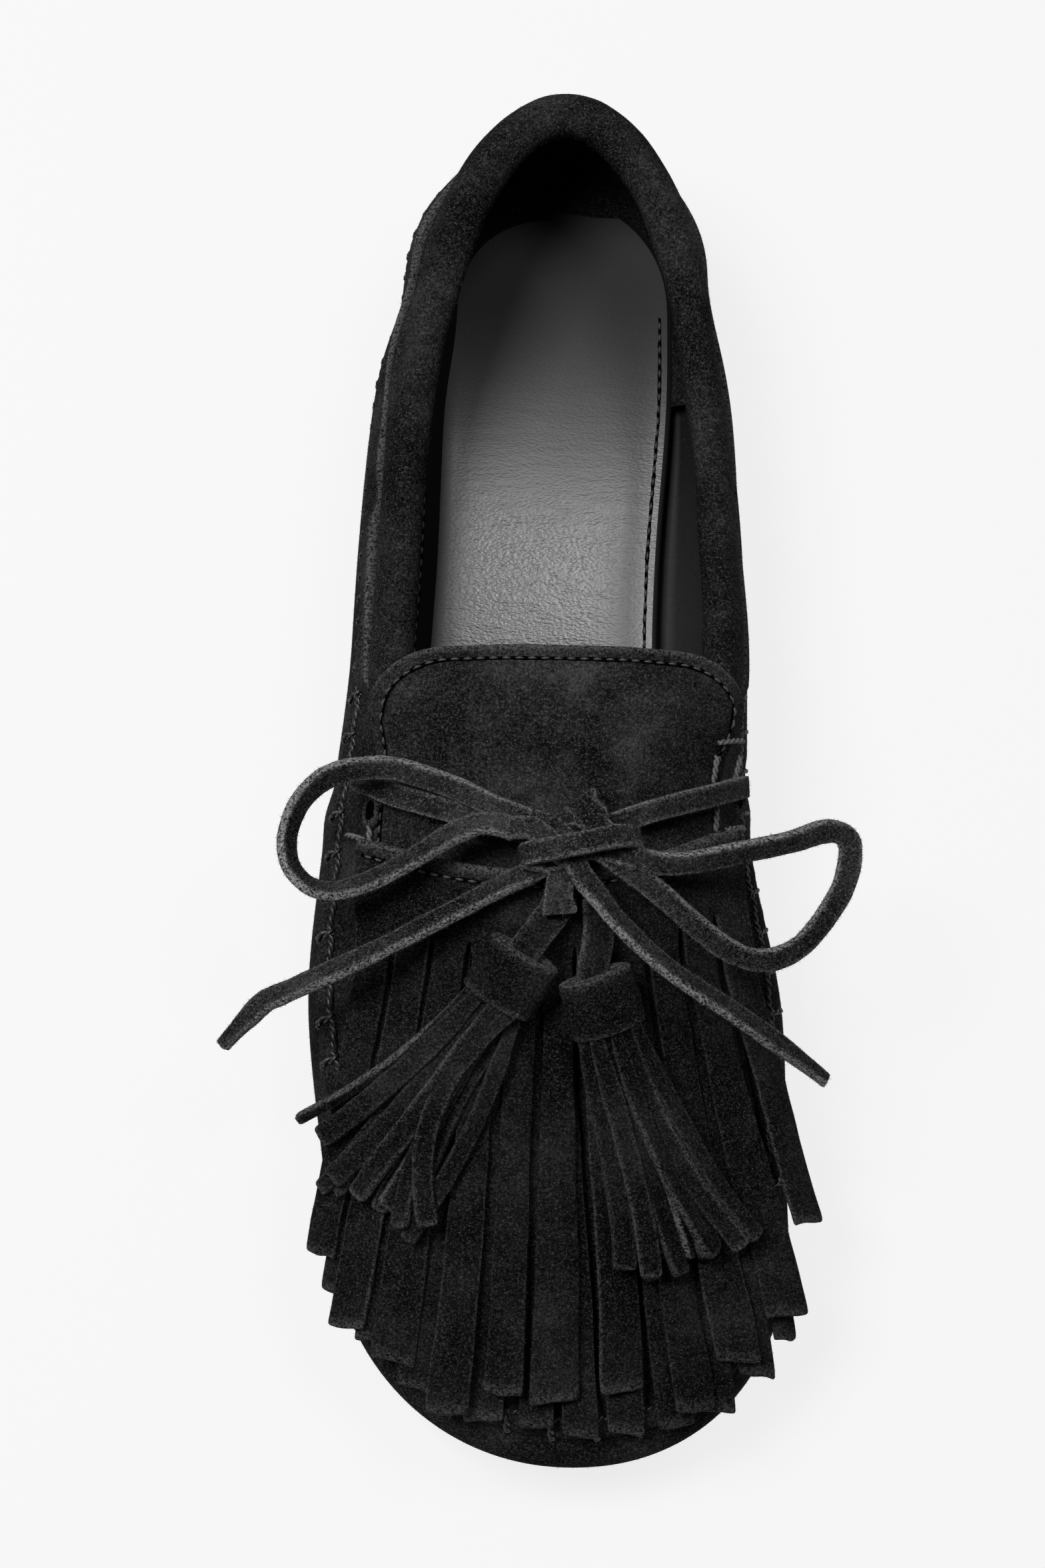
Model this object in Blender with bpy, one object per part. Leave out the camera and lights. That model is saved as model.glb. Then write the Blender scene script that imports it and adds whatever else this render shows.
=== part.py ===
"""Kiltie loafer for the right foot: a suede moccasin with a fringed kiltie, a thong bow and two tassels.

The shoe stands on the floor, z = 0, with its toe to -Y and its medial side to +X.
The origin lies on the floor under the middle of the heel. Sizes are in metres.
"""

import math

import bmesh
import bpy
from mathutils import Vector

for old in list(bpy.data.objects):
    bpy.data.objects.remove(old, do_unlink=True)

MM = 0.001

# Driving sizes of the last
LENGTH = 258 * MM
BALL_WIDTH = 90 * MM
BACK_RISE = 41 * MM
INSTEP_RISE = 53 * MM
SEAM_RISE = 25 * MM
HEEL_RADIUS = 30 * MM
TOE_RADIUS = 46 * MM

# Sole, heel and insole
SOLE_THICKNESS = 3.5 * MM
SOLE_EDGE = 1.2 * MM
SOLE_STEP = 0.8 * MM
HEEL_LIFT = 5 * MM
HEEL_LENGTH = 54 * MM
HEEL_SETBACK = 1.0 * MM
TOE_SPRING = 5 * MM
INSOLE_THICKNESS = 2.6 * MM
GAP = 0.3 * MM

# Upper and what is sewn on it
WALL = 2.0 * MM
MARGIN = 10 * MM
SEAM_RIDGE = 1.1 * MM
SEAM_HALF = 2.3 * MM
SEAM_INSET_TOE = 7 * MM
QUARTER_STEP = 0.4 * MM
COLLAR_HALF_WIDTH = 4.2 * MM
COLLAR_OVER = 3.6 * MM
COLLAR_UNDER = 4.4 * MM
TONGUE_THICKNESS = 1.8 * MM
TONGUE_OVERHANG = 5.0 * MM
TONGUE_CORNER = 9 * MM
FRINGE_THICKNESS = 1.4 * MM
LAYER_GAP = 0.4 * MM
FRINGE_GAP = 1.0 * MM
SLIT = 0.5 * MM

# Thongs and tassels
THONG_WIDTH = 4.2 * MM
THONG_THICKNESS = 1.8 * MM
KNOT_SIZE = (20 * MM, 9.2 * MM, 7 * MM)
STRAP_WIDTH = 6 * MM
CAP_WIDTH = 15 * MM
CAP_THICKNESS = 8 * MM
CAP_LENGTH = 11 * MM
TASSEL_LENGTH = 44 * MM
TASSEL_STRAND = 3.9 * MM
STRAND_THICKNESS = 1.3 * MM
STRAND_GAP = 0.6 * MM
TASSEL_CLEAR = 0.5 * MM
KNOT_CLEAR = 0.3 * MM
TONGUE_CLIMB = 4.6 * MM
COLLAR_PLAY = 0.1 * MM
INSOLE_CLEAR = 0.8 * MM
EDGE_ROUND = 0.7 * MM

# Sections along the last. Shares of: the length from the back (share); the ball width (centre, half,
# foot_centre, foot_half, seam_inset); the seam's and the instep's rise above the sole (seam, crown).
# Power is the exponent of the crown's arch.
SECTION_COLUMNS = ("share", "centre", "half", "foot_centre", "foot_half", "seam_inset",
                   "seam", "crown", "power")
SECTIONS = (
    (0.00, 0.006, 0.330, 0.000, 0.308, 0.013, 0.72, 0.80, 3.6),
    (0.12, -0.005, 0.331, -0.003, 0.306, 0.013, 0.72, 0.85, 3.6),
    (0.20, -0.020, 0.376, -0.020, 0.317, 0.016, 0.74, 0.90, 3.6),
    (0.32, -0.017, 0.412, -0.041, 0.310, 0.020, 0.82, 0.96, 3.6),
    (0.40, -0.016, 0.426, -0.052, 0.314, 0.024, 0.93, 0.99, 3.6),
    (0.46, -0.025, 0.434, -0.054, 0.342, 0.028, 1.02, 1.00, 3.6),
    (0.55, -0.042, 0.456, -0.050, 0.400, 0.032, 1.02, 0.915, 3.0),
    (0.68, -0.024, 0.500, -0.020, 0.456, 0.038, 0.98, 0.755, 2.5),
    (0.82, 0.000, 0.480, 0.002, 0.440, 0.050, 0.90, 0.590, 2.2),
    (1.00, 0.027, 0.472, 0.024, 0.432, 0.060, 0.64, 0.560, 2.2),
)

# The topline: shares of the ball width (centre, half) and of the back's rise above the sole (top).
TOPLINE_COLUMNS = ("share", "centre", "half", "top")
TOPLINE = (
    (0.00, 0.000, 0.322, 1.00),
    (0.12, -0.002, 0.322, 0.945),
    (0.20, -0.008, 0.326, 0.865),
    (0.32, -0.010, 0.344, 0.835),
    (0.40, -0.013, 0.354, 0.865),
    (0.46, -0.018, 0.360, 0.890),
)

# The sole's underside: shares of the heel's lift and of the toe's spring, along the length.
UNDERSIDE_COLUMNS = ("share", "lift", "spring")
UNDERSIDE = (
    (0.00, 1.00, 0.0),
    (0.22, 1.00, 0.0),
    (0.34, 0.72, 0.0),
    (0.44, 0.25, 0.0),
    (0.52, 0.00, 0.0),
    (0.80, 0.00, 0.0),
    (0.88, 0.00, 0.14),
    (0.94, 0.00, 0.45),
    (1.00, 0.00, 1.0),
)

# Side wall between the foot's edge and the seam, as shares of its height.
WALL_LEVELS = (0.0, 0.12, 0.32, 0.60, 0.88, 1.0)
WIDEST = 0.60
HEEL_FOOT_INSET = 1.8 * MM
TOE_FOOT_INSET = 3.5 * MM
HEEL_SEAM_INSET = 1.2 * MM
HEEL_TOP_INSET = 3.2 * MM
CAP_POWER = 2.1
TOP_CAP_POWER = 1.95
TOP_POLE = 0.29

HEEL_STEPS = 5
SIDE_STEPS = 18
TOE_STEPS = 7
QUARTER_LEVELS = (0.10, 0.36, 0.66, 1.0)
APRON_ROWS = 5
THROAT_SHARE = 0.457
COLLAR_END = 0.82
THROAT_CORNER = 0.86

# Kiltie: places along the length and, across, shares of the seam's half-width.
KILTIE_TOP = 0.591
KILTIE_SMILE = 13.5 * MM
KILTIE_SKEW = 1.8 * MM
KILTIE_HALF = 0.79
SLIT_START = 13 * MM
STRAND_STEPS = 7
TONGUE_END = 0.615
TONGUE_HALF = 0.81

# Fringe strands: end place across (share of the ball width) and along (share of the length), and end width
# (share of the ball width), from the lateral side to the medial one.
STRAND_COLUMNS = ("across", "along", "width")
OVER_STRANDS = (
    (-0.462, 0.850, 0.056),
    (-0.410, 0.898, 0.074),
    (-0.335, 0.922, 0.084),
    (-0.222, 0.953, 0.080),
    (-0.118, 0.942, 0.072),
    (-0.020, 0.948, 0.096),
    (0.110, 0.943, 0.086),
    (0.238, 0.952, 0.084),
    (0.328, 0.922, 0.086),
    (0.412, 0.890, 0.084),
    (0.476, 0.829, 0.070),
)
UNDER_STRANDS = (
    (-0.442, 0.876, 0.062),
    (-0.372, 0.908, 0.060),
    (-0.283, 0.940, 0.068),
    (-0.150, 0.962, 0.078),
    (-0.055, 0.967, 0.066),
    (0.030, 0.973, 0.072),
    (0.122, 0.973, 0.072),
    (0.220, 0.966, 0.078),
    (0.292, 0.956, 0.068),
    (0.376, 0.932, 0.070),
    (0.436, 0.908, 0.050),
)

# Routes of the thongs and places of the knot and tassels, chosen by hand in millimetres on a last of the
# drawn sizes. A fourth value is the turn of the thong's flat side, in degrees.
DRAWN_LENGTH = 258
DRAWN_BACK = 30
DRAWN_WIDTH = 90
DRAWN_RISE = 53
CROSSING_ROUTE = (
    (-36.0, -104.0), (-28.9, -108.6), (-17.2, -113.6), (-6.0, -116.6), (3.0, -115.6),
    (13.3, -111.4), (24.5, -106.4), (30.0, -103.6),
)
LOOP_LATERAL = (
    (-8.5, -116.1, 59.4, 20), (-14.3, -113.5, 58.6, 30), (-21.5, -109.9, 57.8, 35),
    (-32.1, -106.1, 56.2, 40), (-39.3, -105.7, 54.6, 45), (-45.1, -107.1, 52.8, 50),
    (-49.6, -111.3, 51.2, 55), (-51.7, -117.1, 50.4, 55), (-51.3, -122.3, 50.6, 55),
    (-48.6, -126.1, 51.4, 50), (-44.6, -127.9, 52.8, 45), (-40.0, -127.5, 54.6, 40),
    (-35.0, -125.8, 56.4, 40), (-28.2, -122.3, 58.8, 35), (-22.9, -119.3, 60.9, 30),
    (-17.6, -117.5, 62.9, 25), (-14.0, -118.0, 63.6, 20), (-11.5, -118.9, 64, 15),
)
LOOP_MEDIAL = (
    (11.6, -119.8, 60.6, -15), (14.9, -121.8, 60.4, -35), (20.4, -123.2, 60, -45),
    (30.2, -121.0, 58.6, -50), (39.2, -118.6, 56.8, -45), (45.3, -116.2, 55, -35),
    (49.2, -116.4, 53.6, -20), (50.6, -119.2, 52.6, 0), (49.4, -125.4, 51.4, 15),
    (45.5, -132.0, 51, 25), (40.6, -137.2, 51.4, 30), (35.6, -139.4, 52, 35),
    (31.2, -139.3, 52.9, 35), (26.3, -137.3, 54.2, 35), (21.3, -133.8, 55.9, 30),
    (16.1, -129.6, 57.4, 25), (12.2, -126.8, 58.8, 15), (9.8, -125.6, 59.6, 10),
)
END_LATERAL = (
    (-8.2, -125.3, 58.8, -25), (-13.5, -127.7, 57.6, -35), (-22.8, -132.5, 56.4, -40),
    (-34.3, -138.3, 54.2, -40), (-45.6, -143.2, 50.8, -35), (-52.2, -145.7, 47.4, -30),
    (-55.6, -146.9, 44.6, -30), (-59.4, -150.3, 41.4, -30), (-63.0, -153.9, 38.6, -30),
)
END_MEDIAL = (
    (1.2, -127.2, 61.2, 20), (3.4, -130.2, 61.8, 30), (6.6, -134.2, 61.6, 40),
    (11.4, -138.8, 60.6, 40), (16.6, -143.0, 59.4, 40), (22.4, -146.6, 58.0, 40),
    (28.6, -150.0, 55.6, 35), (38.2, -155.4, 50.6, 30), (46.4, -160.6, 46.2, 30),
)
KNOT_PLACE = (0.0, -121.0)
STRAP_LATERAL = ((-2.6, -127.0), (-4.0, -130.0), (-6.2, -134.4))
STRAP_MEDIAL = ((3.6, -127.0), (3.8, -132.0), (3.6, -137.6))

# Tassels: where the cap's upper face sits, the heading of its axis from the toe's direction and the fan's
# spread, both in degrees.
TASSEL_COLUMNS = ("place", "heading", "fan")
TASSEL_LATERAL = ((-8.3, -137.6), -32, 12)
TASSEL_MEDIAL = ((2.2, -141.4), 19, 9)
TASSEL_ACROSS = 6
TASSEL_SETTLE = 0.35

SUEDE = (0.020, 0.020, 0.022, 1.0)
RUBBER = (0.014, 0.014, 0.015, 1.0)
LEATHER = (0.030, 0.030, 0.032, 1.0)


def named(columns, row):
    """A table's row as a dict."""
    return dict(zip(columns, row))


def along(columns, rows, share, column):
    """A table's column at a share of the length, on a smooth curve through its rows."""
    k = columns.index(column)
    at = [row[0] for row in rows]
    value = [row[k] for row in rows]
    share = min(max(share, at[0]), at[-1])
    i = max(j for j in range(len(at) - 1) if at[j] <= share)
    step = at[i + 1] - at[i]
    u = (share - at[i]) / step

    def slope(j):
        if j == 0 or j == len(at) - 1:
            a, b = (0, 1) if j == 0 else (j - 1, j)
            return (value[b] - value[a]) / (at[b] - at[a])
        left = (value[j] - value[j - 1]) / (at[j] - at[j - 1])
        right = (value[j + 1] - value[j]) / (at[j + 1] - at[j])
        if left * right <= 0:
            return 0.0
        return 2 * left * right / (left + right)

    h00 = (1 + 2 * u) * (1 - u) ** 2
    h10 = u * (1 - u) ** 2
    h01 = u * u * (3 - 2 * u)
    h11 = u * u * (u - 1)
    return h00 * value[i] + h10 * step * slope(i) + h01 * value[i + 1] + h11 * step * slope(i + 1)


def section(share, column):
    return along(SECTION_COLUMNS, SECTIONS, share, column)


def ease(value, low, high):
    """0 below low, 1 above high, smooth between."""
    u = min(max((value - low) / (high - low), 0.0), 1.0)
    return u * u * (3 - 2 * u)


def blend(a, b, u):
    return a + (b - a) * u


BACK_Y = HEEL_RADIUS
HEEL_POLE = HEEL_RADIUS / LENGTH
TOE_POLE = 1 - TOE_RADIUS / LENGTH
TOE_SEAM_RADIUS = TOE_RADIUS - SEAM_INSET_TOE


def y_at(share):
    return BACK_Y - share * LENGTH


def share_at(y):
    return (BACK_Y - y) / LENGTH


def underside(share):
    """Height of the sole's lower face above the floor."""
    lift = along(UNDERSIDE_COLUMNS, UNDERSIDE, share, "lift")
    spring = along(UNDERSIDE_COLUMNS, UNDERSIDE, share, "spring")
    return lift * (HEEL_LIFT + GAP) + spring * TOE_SPRING


def sole_top(share):
    return underside(share) + SOLE_THICKNESS


class Column:
    """One place around the shoe. Side is -1 lateral, 1 medial and 0 at the two ends."""

    def __init__(self, side, share, across, out):
        self.side = side
        self.share = share
        self.across = across
        self.out = out
        self.heel = out > 0 and share < HEEL_POLE
        self.toe = out > 0 and not self.heel
        self.body = HEEL_POLE if self.heel else TOE_POLE if self.toe else share


def half_columns(side):
    """Columns of one side, from the back to the toe, without the two end ones."""
    found = []
    for i in range(1, HEEL_STEPS):
        a = math.radians(90 * (1 - i / HEEL_STEPS))
        out = math.sin(a) ** (2 / CAP_POWER)
        found.append(Column(side, HEEL_POLE * (1 - out), math.cos(a) ** (2 / CAP_POWER), out))
    shares = [blend(HEEL_POLE, TOE_POLE, i / SIDE_STEPS) for i in range(SIDE_STEPS + 1)]
    nearest = min(range(len(shares)), key=lambda i: abs(shares[i] - THROAT_SHARE))
    shares[nearest] = THROAT_SHARE
    found += [Column(side, share, 1.0, 0.0) for share in shares]
    for i in range(1, TOE_STEPS):
        a = math.radians(90 * i / TOE_STEPS)
        out = math.sin(a) ** (2 / CAP_POWER)
        found.append(Column(side, TOE_POLE + (1 - TOE_POLE) * out, math.cos(a) ** (2 / CAP_POWER), out))
    return found


LATERAL = half_columns(-1)
MEDIAL = half_columns(1)
BACK = Column(0, 0.0, 0.0, 1.0)
TIP = Column(0, 1.0, 0.0, 1.0)
RING = [BACK] + LATERAL + [TIP] + MEDIAL[::-1]


def ring_point(col, centre, half, heel_radius, toe_radius, z):
    """A point of a ring round the shoe at one column."""
    y = y_at(col.share)
    if col.heel:
        y = y_at(HEEL_POLE) + heel_radius * col.out
    if col.toe:
        y = y_at(TOE_POLE) - toe_radius * col.out
    return Vector((centre + col.side * half * col.across, y, z))


def foot_point(col, inset=0.0, z=None, lower=0.0):
    """A point at the foot's edge, where the upper meets the sole, moved inwards by inset."""
    centre = section(col.share, "foot_centre") * BALL_WIDTH
    half = section(col.body, "foot_half") * BALL_WIDTH - inset
    heel = HEEL_RADIUS - HEEL_FOOT_INSET - inset
    toe = TOE_RADIUS - TOE_FOOT_INSET
    height = z
    if z is None:
        height = blend(sole_top(col.body), sole_top(col.share), 1 - inset / toe) - lower
    return ring_point(col, centre, half, heel, toe - inset, height)


def seam_half(share):
    return (section(share, "half") - section(share, "seam_inset")) * BALL_WIDTH


def seam_height(share):
    return sole_top(share) + section(share, "seam") * SEAM_RISE


def crown_top(share):
    return sole_top(share) + section(share, "crown") * INSTEP_RISE


def wall_point(col, level):
    """A point of the side wall: level 0 is the foot's edge and 1 the seam."""
    foot = foot_point(col, lower=-GAP)
    centre = section(col.share, "centre") * BALL_WIDTH
    half = section(col.body, "half") * BALL_WIDTH
    widest = ring_point(col, centre, half, HEEL_RADIUS, TOE_RADIUS, 0)
    seam = ring_point(col, centre, seam_half(col.body),
                      HEEL_RADIUS - HEEL_SEAM_INSET, TOE_SEAM_RADIUS, 0)
    if level <= WIDEST:
        u = math.sin(math.radians(90 * level / WIDEST))
        plan = foot.lerp(widest, u)
    else:
        u = 1 - math.cos(math.radians(90 * (level - WIDEST) / (1 - WIDEST)))
        plan = widest.lerp(seam, u)
    z = blend(foot.z, seam_height(col.share), level)
    return Vector((plan.x, plan.y, z))


def top_point(col):
    """The topline, where the quarter's wall ends. It narrows to the back from its own pole."""
    centre = along(TOPLINE_COLUMNS, TOPLINE, col.share, "centre") * BALL_WIDTH
    half = along(TOPLINE_COLUMNS, TOPLINE, col.share, "half") * BALL_WIDTH
    z = sole_top(col.share) + along(TOPLINE_COLUMNS, TOPLINE, col.share, "top") * BACK_RISE
    out = 1 - min(col.share / TOP_POLE, 1.0)
    across = (1 - out**TOP_CAP_POWER) ** (1 / TOP_CAP_POWER)
    return Vector((centre + col.side * half * across, y_at(col.share) - HEEL_TOP_INSET * out, z))


def crown_height(x, y):
    """Height of the vamp's crown over a place in plan. It falls on beyond the seam."""
    share = share_at(y)
    body = min(share, TOE_POLE)
    centre = section(share, "centre") * BALL_WIDTH
    dx = abs(x - centre) / seam_half(body)
    power = section(body, "power")
    if share <= TOE_POLE:
        across, seam = dx, seam_height(share)
    else:
        dy = (y_at(TOE_POLE) - y) / TOE_SEAM_RADIUS
        across = (dx**CAP_POWER + dy**CAP_POWER) ** (1 / CAP_POWER)
        out = min(dy / max(across, 1e-6), 1.0)
        seam = seam_height(TOE_POLE + (1 - TOE_POLE) * out)
    return seam + (crown_top(body) - seam) * (1 - across**power)


def crown_normal(x, y):
    step = 0.5 * MM
    dx = (crown_height(x + step, y) - crown_height(x - step, y)) / (2 * step)
    dy = (crown_height(x, y + step) - crown_height(x, y - step)) / (2 * step)
    return Vector((-dx, -dy, 1)).normalized()


def crown_point(x, y, lift=0.0):
    return Vector((x, y, crown_height(x, y))) + crown_normal(x, y) * lift


def apron_point(col, across):
    """A point of the apron on one column, from the seam at across 1 to the spine at 0."""
    centre = section(col.share, "centre") * BALL_WIDTH
    if col.toe:
        pole = Vector((section(TOE_POLE, "centre") * BALL_WIDTH, y_at(TOE_POLE), 0))
        seam = ring_point(col, centre, seam_half(TOE_POLE), 0, TOE_SEAM_RADIUS, 0)
        plan = pole.lerp(seam, across)
        low = seam_height(col.share)
        z = low + (crown_top(TOE_POLE) - low) * (1 - across ** section(TOE_POLE, "power"))
        return Vector((plan.x, plan.y, z))
    x = centre + col.side * seam_half(col.share) * across
    low = seam_height(col.share)
    z = low + (crown_top(col.share) - low) * (1 - across ** section(col.share, "power"))
    return Vector((x, y_at(col.share), z))


def quarter_point(col, u):
    """A point between the seam and the topline, at the rear: up from the seam, then in to the top."""
    seam = wall_point(col, 1.0)
    top = top_point(col)
    turn = seam.lerp(top, 0.12)
    turn.z = blend(seam.z, top.z, 0.62)
    return seam * (1 - u) ** 2 + turn * 2 * u * (1 - u) + top * u * u


def add_face(bm, corners):
    """A face from corners, leaving out any that are the same."""
    kept = [v for i, v in enumerate(corners) if v is not corners[i - 1]]
    if len(kept) > 2:
        bm.faces.new(kept)


def thicken(bm, depth, lifts=None):
    """Closes a sheet into a wall that reaches depth behind it. Lifts raise places on its front."""
    bm.normal_update()
    front = list(bm.verts)
    normal = {v: v.normal.copy() for v in front}
    behind = {v: bm.verts.new(v.co - normal[v] * depth) for v in front}
    faces = list(bm.faces)
    rim = [e.link_loops[0] for e in bm.edges if len(e.link_faces) == 1]
    rim = [(loop.vert, loop.link_loop_next.vert) for loop in rim]
    for face in faces:
        bm.faces.new([behind[v] for v in reversed(face.verts)])
    for a, b in rim:
        bm.faces.new([b, a, behind[a], behind[b]])
    for v, lift in (lifts or {}).items():
        v.co += normal[v] * lift


def material(name, colour, roughness):
    made = bpy.data.materials.new(name)
    made.use_nodes = True
    shader = made.node_tree.nodes["Principled BSDF"]
    shader.inputs["Base Color"].default_value = colour
    shader.inputs["Roughness"].default_value = roughness
    shader.inputs["Metallic"].default_value = 0.0
    return made


def add_object(name, bm, colour=SUEDE, roughness=0.95):
    """Makes a named object from a mesh, shaded smooth, with its own material."""
    bmesh.ops.recalc_face_normals(bm, faces=bm.faces)
    mesh = bpy.data.meshes.new(name)
    bm.to_mesh(mesh)
    bm.free()
    mesh.materials.append(material(name, colour, roughness))
    mesh.shade_smooth()
    mesh.set_sharp_from_angle(angle=math.radians(50))
    made = bpy.data.objects.new(name, mesh)
    bpy.context.scene.collection.objects.link(made)
    return made


def upper_rows(col):
    """Places up one column of the upper, with the lift of its front at each."""
    rows = [(foot_point(col, inset=inset, lower=-GAP), 0.0) for inset in (MARGIN, MARGIN / 2)]
    for level in WALL_LEVELS:
        rows.append((wall_point(col, level), SEAM_RIDGE if level == 1.0 else 0.0))
    rear = col.share < THROAT_SHARE
    first = SEAM_HALF / seam_half(col.body)
    for level in QUARTER_LEVELS:
        stepped = QUARTER_LEVELS[0] < level < QUARTER_LEVELS[2]
        if rear:
            rows.append((quarter_point(col, level), QUARTER_STEP if stepped else 0.0))
        else:
            rows.append((apron_point(col, blend(1 - first, THROAT_CORNER, level)), 0.0))
    if not rear:
        for i in range(1, APRON_ROWS):
            rows.append((apron_point(col, THROAT_CORNER * (1 - i / APRON_ROWS)), 0.0))
    return rows


def make_upper():
    """The upper: one wall with a margin, a bulging side, a raised seam, the quarters and the apron."""
    bm = bmesh.new()
    lifts = {}
    grid = []
    for col in RING:
        line = []
        for place, lift in upper_rows(col):
            v = bm.verts.new(place)
            lifts[v] = lift
            line.append(v)
        grid.append(line)
    pole = bm.verts.new(apron_point(LATERAL[-1], 0.0))
    spine = {}
    for k, col in enumerate(RING):
        if col.share < THROAT_SHARE:
            continue
        if col.toe or col.side == 0 or col.share == LATERAL[HEEL_STEPS - 1 + SIDE_STEPS].share:
            grid[k].append(pole)
            continue
        if col.share not in spine:
            spine[col.share] = bm.verts.new(apron_point(col, 0.0))
        grid[k].append(spine[col.share])
    for k, line in enumerate(grid):
        following = grid[(k + 1) % len(grid)]
        for r in range(min(len(line), len(following)) - 1):
            add_face(bm, [line[r], following[r], following[r + 1], line[r + 1]])
    thicken(bm, WALL, lifts)
    return add_object("upper", bm)


def spine_share(col):
    """Where along the spine a column's line across the foot ends."""
    if col.heel or col is BACK:
        return HEEL_POLE
    if col.toe or col is TIP:
        return TOE_POLE
    return col.share


def disc(bm, rims, height_above):
    """Closed slab between two faces. Rims are lists of points, one per ring column, from top to bottom."""
    lines = [[bm.verts.new(p) for p in rim] for rim in rims]
    count = len(RING)
    for upper, lower in zip(lines, lines[1:]):
        for k in range(count):
            add_face(bm, [upper[k], lower[k], lower[(k + 1) % count], upper[(k + 1) % count]])
    for line, lift in ((lines[0], height_above[0]), (lines[-1], height_above[1])):
        middle = {}
        flip = line is lines[-1]
        for k in range(count):
            corners = [line[k], line[(k + 1) % count]]
            for col in (RING[(k + 1) % count], RING[k]):
                key = spine_share(col)
                if key not in middle:
                    x = section(key, "foot_centre") * BALL_WIDTH
                    middle[key] = bm.verts.new((x, y_at(key), sole_top(key) + lift))
                corners.append(middle[key])
            add_face(bm, corners[::-1] if flip else corners)


def make_outsole():
    """The outsole, with a stepped edge, an arch and a spring at the toe."""
    bm = bmesh.new()
    edge = (
        (SOLE_EDGE - EDGE_ROUND, 0.0),
        (SOLE_EDGE, EDGE_ROUND),
        (SOLE_EDGE, 0.40 * SOLE_THICKNESS),
        (SOLE_EDGE - SOLE_STEP, 0.46 * SOLE_THICKNESS),
        (SOLE_EDGE - SOLE_STEP, SOLE_THICKNESS - EDGE_ROUND),
        (SOLE_EDGE - SOLE_STEP - EDGE_ROUND, SOLE_THICKNESS),
    )
    rims = [[foot_point(col, inset=-out, lower=down) for col in RING] for out, down in edge]
    disc(bm, rims, (0.0, -SOLE_THICKNESS))
    return add_object("outsole", bm, RUBBER, 0.6)


def make_heel():
    """The low heel lift: a D-shaped block under the back of the outsole."""
    bm = bmesh.new()
    breast = HEEL_LENGTH / LENGTH
    inset = HEEL_SETBACK - SOLE_EDGE + SOLE_STEP
    cols = [c for c in RING if c.share < breast - 0.01]
    lateral = [c for c in cols if c.side < 0]
    medial = [c for c in cols if c.side > 0]
    ends = [Column(-1, breast, 1.0, 0.0), Column(1, breast, 1.0, 0.0)]
    outline = [BACK] + lateral + ends + medial
    levels = ((inset + EDGE_ROUND, 0.0), (inset, EDGE_ROUND), (inset, HEEL_LIFT))
    rims = [[foot_point(c, inset=i, z=z) for c in outline] for i, z in levels]
    lines = [[bm.verts.new(p) for p in rim] for rim in rims]
    for low, high in zip(lines, lines[1:]):
        for k in range(len(outline)):
            j = (k + 1) % len(outline)
            add_face(bm, [low[k], low[j], high[j], high[k]])
    bm.faces.new(lines[0][::-1])
    bm.faces.new(lines[-1])
    return add_object("heel", bm, RUBBER, 0.6)


def make_insole():
    """The leather sock on its foam, lying on the upper's margin."""
    bm = bmesh.new()
    base = GAP + WALL + GAP
    clear = WALL + INSOLE_CLEAR
    edge = (
        (clear + EDGE_ROUND, base + INSOLE_THICKNESS),
        (clear, base + INSOLE_THICKNESS - EDGE_ROUND),
        (clear, base),
    )
    rims = [[foot_point(col, inset=out, lower=-up) for col in RING] for out, up in edge]
    disc(bm, rims, (base + INSOLE_THICKNESS, base))
    return add_object("insole", bm, LEATHER, 0.4)


def wall_edge(col):
    """The top of the wall at one column, and the row below it."""
    rows = [place for place, lift in upper_rows(col)]
    edge = 1 + len(WALL_LEVELS) + len(QUARTER_LEVELS)
    return rows[edge], rows[edge - 1]


def make_collar():
    """The padded roll round the topline: a horseshoe section that straddles the wall's edge."""
    slot = WALL / 2 + GAP + COLLAR_PLAY
    wide, over, under = COLLAR_HALF_WIDTH, COLLAR_OVER, COLLAR_UNDER
    profile = (
        (slot, -under), (0.90 * wide, -0.92 * under), (wide, -0.2 * under), (0.90 * wide, 0.42 * over),
        (0.55 * wide, 0.86 * over), (0.0, over), (-0.55 * wide, 0.86 * over), (-0.90 * wide, 0.42 * over),
        (-wide, -0.2 * under), (-0.90 * wide, -0.92 * under), (-slot, -under), (-slot, GAP), (slot, GAP),
    )
    cols = [c for c in LATERAL[::-1] if c.share <= THROAT_SHARE]
    cols += [BACK] + [c for c in MEDIAL if c.share <= THROAT_SHARE]
    edges = [wall_edge(c) for c in cols]
    for end, near in ((0, 1), (-1, -2)):
        edges[end] = [b.lerp(a, COLLAR_END) for a, b in zip(edges[end], edges[near])]
    tops = [top for top, below in edges]
    bm = bmesh.new()
    lines = []
    for i, (top, below) in enumerate(edges):
        before, after = tops[max(i - 1, 0)], tops[min(i + 1, len(tops) - 1)]
        tangent = (after - before).normalized()
        up = (top - below).normalized()
        out = up.cross(tangent).normalized()
        up = tangent.cross(out).normalized()
        middle = top - out * WALL / 2
        lines.append([bm.verts.new(middle + out * n + up * b) for n, b in profile])
    for a, b in zip(lines, lines[1:]):
        for k in range(len(profile)):
            j = (k + 1) % len(profile)
            add_face(bm, [a[k], a[j], b[j], b[k]])
    bm.faces.new(lines[0][::-1])
    bm.faces.new(lines[-1])
    return add_object("collar_roll", bm)


def tongue_lift(x, y):
    """Height of the tongue's upper face over the crown. It climbs over the collar roll's front ends."""
    share = share_at(y)
    across = abs(x - section(share, "centre") * BALL_WIDTH) / seam_half(share)
    near = 1 - ease(share, THROAT_SHARE + 0.005, THROAT_SHARE + 0.06)
    return TONGUE_THICKNESS + LAYER_GAP + TONGUE_CLIMB * near * ease(across, 0.40, 0.84)


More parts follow.
